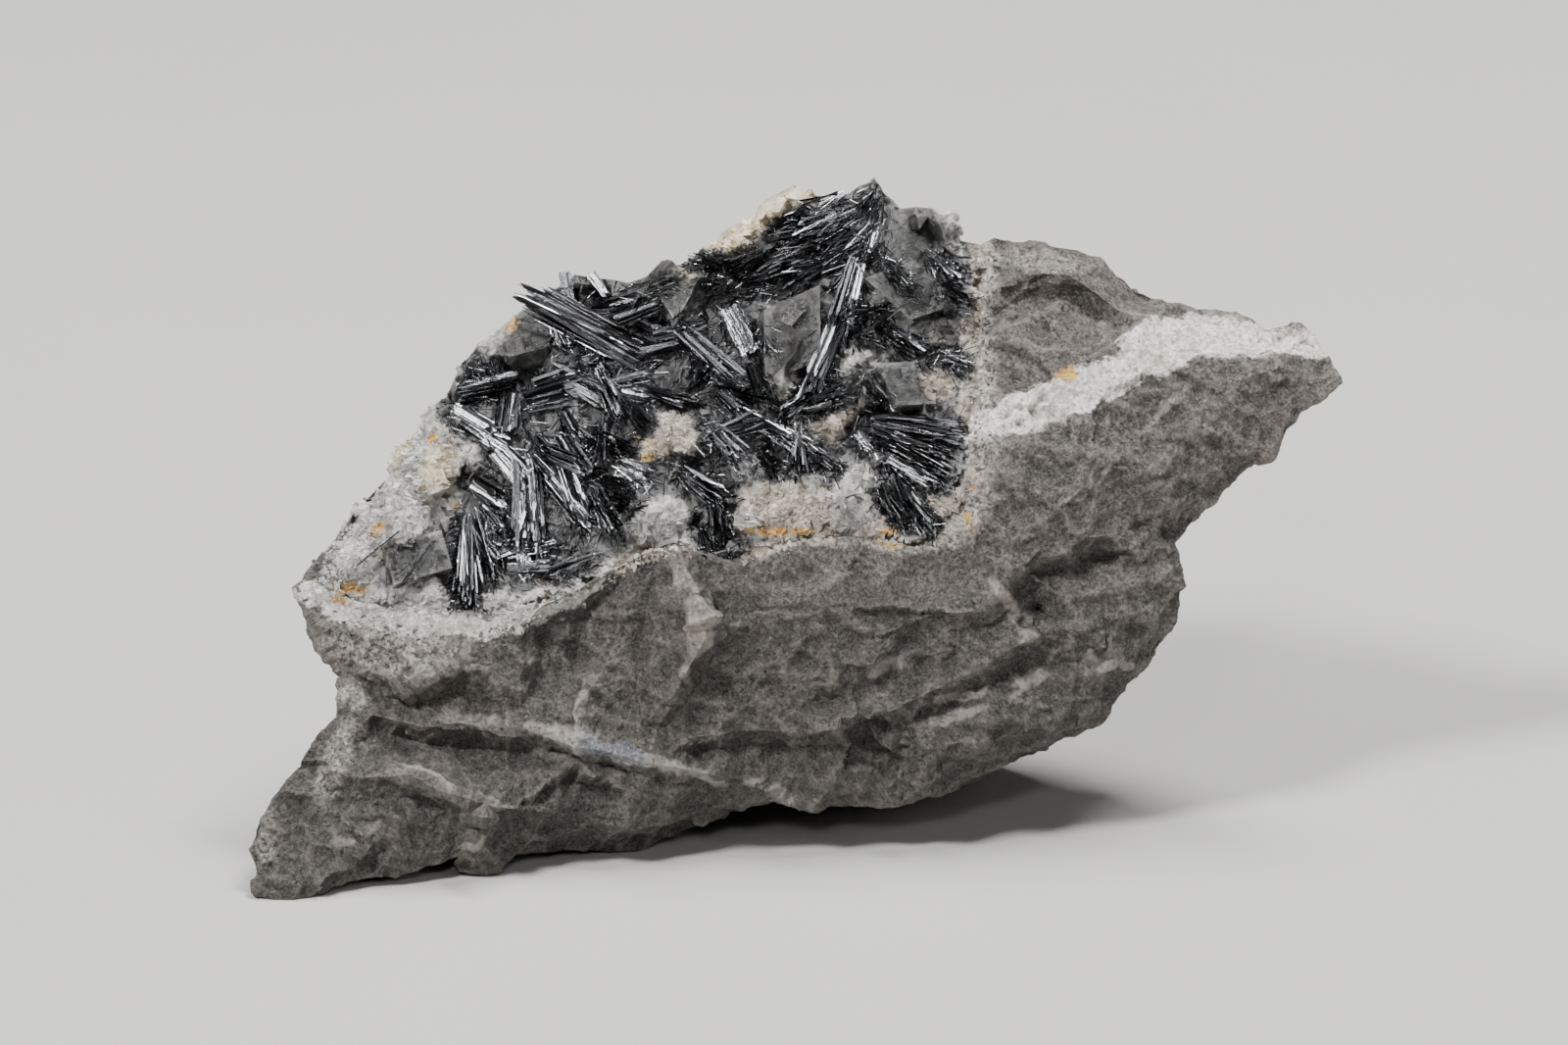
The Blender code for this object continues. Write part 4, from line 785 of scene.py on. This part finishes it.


# ------------------------ the rouxelite

# Each sheaf: the width of its laths as a share of a plain lath's, their shine, their length as a share of
# their bundle's, and its bundles of parallel laths. A bundle is root x, v, tip x, v, half width, number of
# laths, and its shine where that isn't the sheaf's own.
# The shine sets how many laths get a pale base colour, a painted glint; from 1 up it also lays a bundle flat
# to mirror a light.
SHEAVES = {
    "top_spray": (0.55, 0, 0.45, [
        (5.8, 71.9, -1.2, 67.7, 1.2, 16, 0.7), (7, 70.4, -1.7, 65.6, 1.4, 18, 0.3),
        (6.5, 68.4, -3.2, 63.3, 1.5, 20), (7.8, 67.2, -0.8, 62.9, 1.2, 14), (-2.6, 66.2, -7.2, 62.8, 1, 10),
        (-1.2, 63.4, -9.2, 62, 0.7, 9), (8.8, 73, 6.6, 69.6, 1, 9), (8.4, 68.6, 7.4, 65.8, 0.8, 7, 1.3),
        (-6.8, 64.4, -11, 65.4, 0.7, 5), (4.6, 69.4, 0.2, 66, 1.2, 10)]),
    "upper_left_spray": (0.75, 0.3, 1, [
        (-15.6, 56.4, -28.2, 61.9, 0.8, 10), (-16.2, 54.6, -27, 61, 1, 12), (-17.6, 57.4, -26, 61.9, 0.8, 9),
        (-23.2, 61, -23.7, 64, 0.5, 7, 1.6), (-19.4, 61.6, -21, 63.8, 0.4, 5, 1.6),
        (-20.8, 60.6, -12.6, 63.2, 0.4, 5), (-24.6, 58.6, -23.6, 56.6, 1, 7), (-22, 59.4, -17, 60.4, 0.6, 6),
        (-14, 60.8, -18.4, 59.2, 0.8, 7)]),
    "centre_spray": (0.75, 0.3, 0.9, [
        (-17.8, 59.6, -11, 56.6, 0.4, 4), (-19.6, 52.4, -15.2, 53.4, 0.6, 4, 1.1),
        (-10.8, 52.4, -8, 55.6, 0.9, 8, 1), (-12.2, 58.4, -5.6, 52.6, 0.9, 9, -0.3),
        (-9.2, 53.2, -3.2, 51.7, 0.5, 6), (-18.8, 51.7, -14.7, 51.2, 0.5, 4, 1),
        (-16.8, 52.4, -10.4, 50.6, 0.5, 6), (-8, 51.6, -6, 49.8, 0.7, 6),
        (-14.8, 57.4, -9.4, 58.6, 0.5, 5, 0.8), (-11.6, 56.4, -16, 55.2, 0.7, 7),
        (-4.6, 54.4, -3.4, 51.7, 0.6, 5)]),
    "silver_sheaf": (0.85, 1.5, 1, [(-7, 60.4, -4.6, 55.9, 1, 12), (-4.4, 58.8, -3.4, 56.2, 0.3, 3)]),
    "tall_sheaf": (0.85, 0.4, 1, [
        (6, 65.6, 3.6, 57.4, 0.45, 7), (4.4, 59.8, 1, 51, 0.55, 8), (5, 58.6, 2.2, 51.8, 0.3, 3),
        (6.8, 65, 5.6, 60.4, 0.3, 3), (5.8, 58.4, 7, 57.4, 0.5, 4, 1.4), (2.2, 52, -1.2, 49.6, 0.6, 5)]),
    "left_rim_spray": (0.85, 0.3, 1, [
        (-29, 51.6, -29.4, 47.6, 1.1, 9), (-35.2, 49.9, -29.8, 46.4, 0.9, 12, 1.2),
        (-33.2, 54.9, -31.6, 52.2, 0.5, 4), (-30.8, 54.6, -30.8, 52, 0.4, 4),
        (-34.6, 51.6, -28.6, 52.8, 1.1, 9), (-26.8, 52.2, -22.2, 53.6, 1.1, 9),
        (-25.2, 54.2, -19.8, 51.2, 0.9, 9), (-27.6, 50.6, -23.6, 51.6, 1, 7)]),
    "broad_sheaf": (0.85, 0.5, 1, [
        (-27.9, 44.8, -27.2, 33.9, 1, 14, 1.3), (-26.6, 43.4, -26.4, 37, 0.7, 8),
        (-30.6, 45.9, -27.2, 42.4, 1, 10, 1.1), (-29.4, 35.2, -24.6, 36.2, 0.6, 6),
        (-28.4, 35.4, -27.2, 39.4, 0.8, 7, 1), (-29.4, 33.6, -25.2, 33.9, 0.5, 6, 1),
        (-30.8, 34.8, -27.2, 36.2, 0.3, 3), (-24.8, 33.2, -21.2, 34.6, 0.6, 7, 1)]),
    "left_fan": (0.7, 0.6, 1, [
        (-33.7, 39, -33.9, 30.4, 0.4, 5), (-33.5, 39.2, -33, 30.2, 0.5, 7), (-32.8, 39.4, -31, 32.6, 0.6, 6),
        (-33.8, 38, -34.6, 31.4, 0.3, 4), (-33, 37.6, -30.6, 34.4, 0.6, 5), (-33, 42.6, -29.6, 40.4, 0.9, 7),
        (-32, 40, -29.8, 37.4, 0.6, 5), (-40.4, 37.5, -45, 33.7, 0.1, 1, -0.6),
        (-37, 36.3, -40.2, 31.7, 0.1, 1, -0.6)]),
    "crossed_sheaf": (0.85, 0.4, 1, [
        (-23.8, 44.4, -21.8, 38.8, 0.9, 9), (-25.4, 42.8, -21.2, 37.8, 0.6, 8),
        (-24, 47.4, -21.4, 43.2, 0.9, 9), (-26.8, 47.2, -25.2, 45.2, 0.7, 7), (-27, 45, -25, 42.8, 0.6, 7),
        (-23.6, 49.8, -22.2, 47.4, 0.6, 6), (-26.4, 46, -21, 43.8, 0.9, 8),
        (-20.6, 41.6, -18.4, 37.6, 0.8, 7)]),
    "right_fan": (0.5, -0.25, 1, [
        (7.6, 49.2, 16.2, 47.9, 0.7, 9), (8.2, 48, 16, 45.6, 0.9, 12), (9, 46.8, 15.2, 43.2, 0.9, 11),
        (8, 48.6, 16.4, 46.8, 0.7, 9), (9.8, 47, 13.6, 45.4, 0.8, 8, 1), (9.6, 45.2, 14.8, 42.4, 0.8, 8),
        (6.2, 47.6, 7.6, 45.8, 0.4, 4, 1.3)]),
    "lower_right_spray": (0.6, 0, 0.7, [
        (9.2, 44.2, 12.2, 40, 0.6, 6), (9.8, 42.6, 13.8, 37.9, 0.6, 6), (8.6, 41.8, 11.4, 38.4, 0.7, 6),
        (9.4, 43, 10.4, 40, 0.9, 7)]),
    "bottom_spray": (0.6, 0.1, 0.7, [
        (-9.2, 43.6, -7.8, 36.8, 0.6, 7), (-8, 39.4, -6.8, 34.8, 0.3, 4), (-12, 43.8, -7.4, 40.4, 0.8, 8),
        (-9.6, 38.2, -8.4, 34.8, 0.7, 6)]),
    "thin_spray": (0.6, 0.05, 0.7, [
        (-4.2, 45.8, -1.8, 43.6, 0.6, 6), (0.4, 46.6, 4, 43.8, 0.4, 5), (-9, 48.6, -6, 45, 0.8, 7),
        (-6, 49.6, 0.6, 45.8, 0.8, 9), (0.2, 49, 0.4, 43.6, 0.3, 4), (-8.6, 47.2, -3.2, 48.6, 0.7, 7),
        (0.8, 50, 5, 51.4, 0.8, 7)]),
    "middle_spray": (0.7, 0.3, 0.8, [
        (-20.6, 54.6, -18.2, 49.4, 0.7, 8), (-18.4, 51.4, -15.4, 48.4, 0.7, 7),
        (-22.6, 54.7, -20, 55.3, 0.4, 3, 1.3), (-20.2, 55.3, -18.8, 53.2, 0.3, 3),
        (-18.6, 44.8, -15, 42.8, 0.7, 8, 1), (-20.2, 42.8, -17, 41.6, 0.6, 6, 1),
        (-19.6, 40.8, -17, 40.2, 0.4, 4), (-21.2, 47.4, -17.4, 45.6, 0.9, 8),
        (-19.4, 48.6, -19, 44.6, 0.8, 6)]),
    "right_top_spray": (0.6, 0.3, 0.6, [
        (13.6, 66.2, 16.8, 63.6, 0.6, 8, 1.2), (8.4, 65.4, 10.8, 63, 0.7, 7), (14.6, 63, 17.2, 60.8, 0.6, 6),
        (8.6, 58.2, 12.6, 55.4, 1, 8), (14.6, 55.6, 17, 54.6, 0.6, 5), (10, 60.4, 6, 59.6, 0.6, 5),
        (4.4, 58.9, 6.8, 59.2, 0.4, 4, 1), (7, 53.4, 9, 50.4, 0.5, 5)]),
}
LATHS_PER_COUNT = 3  # laths of full width for each one that a bundle counts
SHORTEST = 0.8  # squares: shorter laths are left out
THICKET_PER_BUNDLE = 110  # hair-fine laths among the bundles
LATH_CORNERS = ((1, 0.6), (-1, 0.6), (-1, -0.6), (1, -0.6))
STATIONS = ((0.0, 0.85), (0.94, 1.0), (1.0, 0.45))  # share of the length, and how wide there
STRIAE_SHIFT = 37.0  # squares that a full step of tone moves the striae, so that each lath has its own


class Laths:
    """Many laths in one mesh. Widths, lengths and depths are in squares."""

    def __init__(self, crust):
        self.crust = crust
        self.verts, self.faces, self.tones, self.across = [], [], [], []

    def under(self, x, v):
        """Where the crust's surface lies at x, v, if it reaches there."""
        return self.crust.ray_cast(Vector(from_drawing([(x, v, IN_FRONT)])[0]), INWARD)[0]

    def depth(self, x, v):
        """Depth of the crust's surface there, or of the pocket's mouth past its edge."""
        hit = self.under(x, v)
        return to_drawing([hit])[0][2] if hit else mouth(x, v) + 0.6

    def add(self, root, tip, width, thick, roll, tone):
        """One lath: a flat prism with a cut tip, rolled about its length."""
        root, tip = (Vector(from_drawing([p])[0]) for p in (root, tip))
        along = tip - root
        side = along.cross(INWARD).normalized()
        flat = side.cross(along).normalized()
        c, s = cos(roll), sin(roll)
        side, flat = side * c + flat * s, flat * c - side * s
        first, around = len(self.verts), len(LATH_CORNERS)
        for share, scale in STATIONS:
            for a, b in LATH_CORNERS:
                off = (side * a * width + flat * b * thick) * (scale * SQUARE / 2)
                self.verts.append(root + along * share + off)
                self.across.append((a * width + tone * STRIAE_SHIFT, share * along.length / SQUARE))
        last = len(self.verts) - around
        for low in range(first, last, around):
            for i in range(around):
                j = (i + 1) % around
                self.faces.append((low + i, low + j, low + around + j, low + around + i))
        self.faces += [(first + 3, first + 2, first + 1, first), (last, last + 1, last + 2, last + 3)]
        self.tones += [tone] * (len(self.verts) - first)

    def bundle(self, bundle, fine, shine, short, rng):
        """Laths side by side, nearly parallel, lying in a few layers on the crust."""
        x0, v0, x1, v1, half, count = bundle[:6]
        run = np.array((x1 - x0, v1 - v0))
        length = hypot(*run)
        run, side = run / length, np.array((-run[1], run[0])) / length
        ground = [self.depth(x0, v0), self.depth((x0 + x1) / 2, (v0 + v1) / 2), self.depth(x1, v1)]
        lift = max(0.0, (ground[0] + ground[2]) / 2 - ground[1])
        loose = 0.3 if shine >= 1 else 1.0  # the brightest bundles lie flat to the eye
        tilt = rng.uniform(-0.1, 0.8) * loose
        roll = rng.uniform(-0.7, 0.7) * loose
        glint_level = shine + rng.uniform(-0.3, 0.3)
        for _ in range(int(count * LATHS_PER_COUNT / fine)):
            offset = rng.uniform(-half, half)
            fan = offset * 0.2 + length * rng.normal(0, 0.02 + 0.16 * (1 - short))
            start = length * (0.4 * rng.uniform(0, 1) ** 3 + (1 - short) * rng.uniform(0, 1))
            end = length * (1.05 - 0.5 * rng.uniform(0, 1) ** 3)
            end = min(end, start + length * short * rng.uniform(0.7, 1.4))
            if end - start < SHORTEST:
                continue
            a = (x0 + run[0] * start + side[0] * offset, v0 + run[1] * start + side[1] * offset)
            b = (x0 + run[0] * end + side[0] * (offset + fan), v0 + run[1] * end + side[1] * (offset + fan))
            layer = rng.uniform(0.0, 1.0) ** 1.2 * min(1.3, 0.5 + half * 0.7)
            low = ground[0] - lift - 0.05 - layer
            high = ground[2] - lift - 0.05 - layer - tilt
            width = rng.uniform(0.24, 0.5) if rng.uniform() < 0.5 else rng.uniform(0.08, 0.2)
            # painted glint: a share of the laths, set by the shine, get a pale base colour, the rest near
            # black
            painted_glint = rng.uniform() < min(0.65, 0.1 + 0.5 * glint_level)
            tone = rng.uniform(0.7, 1.0) if painted_glint else rng.uniform(0.0, 0.3)
            thick = width * rng.uniform(0.3, 0.7)
            turned = roll + rng.normal(0, 0.35) * loose
            self.add((*a, low), (*b, high), width * fine, thick * fine, turned, tone)

    def thicket(self, bundles, rng):
        """Short hair-fine laths among the bundles, most of them along the nearest one."""
        for _ in range(THICKET_PER_BUNDLE * len(bundles)):
            x0, v0, x1, v1, half = bundles[rng.integers(len(bundles))][:5]
            share = rng.uniform(-0.05, 1.0)
            x = x0 + (x1 - x0) * share + rng.normal(0, half * 0.6 + 0.3)
            v = v0 + (v1 - v0) * share + rng.normal(0, half * 0.6 + 0.3)
            turn = atan2(v1 - v0, x1 - x0) + rng.normal(0, 0.7)
            length = rng.uniform(0.5, 2.0)
            bx, bv = x + length * cos(turn), v + length * sin(turn)
            if self.under(x, v) is None or self.under(bx, bv) is None:
                continue
            low = self.depth(x, v) + 0.1 - rng.uniform(0, 0.4)
            high = min(low - rng.uniform(-0.2, 0.5), self.depth(bx, bv) - 0.05)
            width = rng.uniform(0.06, 0.15)
            # painted glint: one hair-fine lath in five gets a pale base colour, the rest near black
            tone = rng.uniform(0.6, 1.0) if rng.uniform() < 0.2 else rng.uniform(0.0, 0.25)
            self.add((x, v, low), (bx, bv, high), width, width * 0.6, rng.uniform(-1, 1), tone)

    def done(self, name):
        """The laths as an object, with a tone on each, pale where a glint is painted, and places along and
        across it for the striae.
        """
        data = bpy.data.meshes.new(name)
        data.from_pydata(self.verts, [], self.faces)
        layer = data.attributes.new("tone", "FLOAT", "POINT")
        layer.data.foreach_set("value", np.array(self.tones, np.float32))
        uv = data.uv_layers.new(name="lath")
        corners = np.array([loop.vertex_index for loop in data.loops])
        uv.data.foreach_set("uv", np.array(self.across, np.float32)[corners].ravel())
        return placed(name, data)


def rouxelite(crust, finish):
    """(laths, their solid's name) for every sheaf."""
    made = []
    surface = surface_of(crust)
    for i, (name, (fine, shine, short, bundles)) in enumerate(SHEAVES.items()):
        rng = np.random.default_rng(LATH_SEED + i)
        laths = Laths(surface)
        for bundle in bundles:
            laths.bundle(bundle, fine, bundle[6] if len(bundle) > 6 else shine, short, rng)
        laths.thicket([bundle for bundle in bundles if bundle[5] > 1], rng)
        obj = laths.done(name + "_laths")
        obj.data.materials.append(finish)
        made.append((obj, "rouxelite_" + name))
    return made


# ------------------------ the stage

FLOOR_HALF = 4.0  # metres
MIDDLE = Vector((0.0, 0.0, 0.02))  # what the softboxes face
# Softboxes: place, size and watts, the last a small hard one for the laths.
SOFTBOXES = {
    "key_softbox": ((-0.38, -0.3, 0.6), (0.14, 0.14), 7.0),
    "top_softbox": ((0.15, 0.12, 0.62), (0.45, 0.14), 6.4),
    "right_softbox": ((0.5, -0.3, 0.3), (0.1, 0.25), 0.45),
    "glint_softbox": ((-0.07, -0.67, 0.44), (0.08, 0.08), 0.8),
}
FRAME_WIDTH = 160 * SQUARE  # of what the lens takes in at the specimen
AIM = (-1.2, 38.35, 12.0)  # the point on the drawing that the lens looks at


def floor():
    """A wide flat sheet of pale paper."""
    mesh = bmesh.new()
    bmesh.ops.create_grid(mesh, x_segments=1, y_segments=1, size=FLOOR_HALF)
    data = bpy.data.meshes.new("paper_floor")
    mesh.to_mesh(data)
    mesh.free()
    data.materials.append(studio_paper())
    obj = placed("paper_floor", data)


def studio():
    """The softboxes, and a dim grey surround."""
    world = bpy.data.worlds.new("surround")
    bpy.context.scene.world = world
    world.use_nodes = True
    background = world.node_tree.nodes["Background"]
    fill(world.node_tree, background, {"Color": "#5a5d62", "Strength": 0.15})
    for name, (place, size, watts) in SOFTBOXES.items():
        data = bpy.data.lights.new(name, "AREA")
        data.shape = "RECTANGLE"
        data.size, data.size_y = size
        data.energy = watts
        obj = placed(name, data)
        obj.location = place
        obj.rotation_euler = (MIDDLE - Vector(place)).to_track_quat("-Z", "Y").to_euler()


def camera():
    """A long lens looking square onto the face drawing."""
    data = bpy.data.cameras.new("camera")
    data.lens = 400.0
    data.clip_end = 10.0
    obj = placed("camera", data)
    away = FRAME_WIDTH * data.lens / data.sensor_width
    obj.location = Vector(from_drawing([AIM])[0]) - INWARD * away
    obj.rotation_euler = INWARD.to_track_quat("-Z", "Y").to_euler()
    bpy.context.scene.camera = obj


def main():
    """Dress every solid, and set the stage."""
    rock = dolostone_block()
    rock.data.materials.append(dolostone_broken())
    crust = carbonate_crust(rock)
    crust.data.materials.append(carbonate_crystalline())
    pieces = [(rock, "dolostone_matrix", "dolostone"), (crust, "carbonate_crust", "carbonate")]
    pieces += [(obj, name, "rouxelite") for obj, name in rouxelite(crust, rouxelite_striated())]
    for obj, name, slot in pieces:
        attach(obj, "root")
        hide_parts(name)
    floor()
    studio()
    camera()


main()
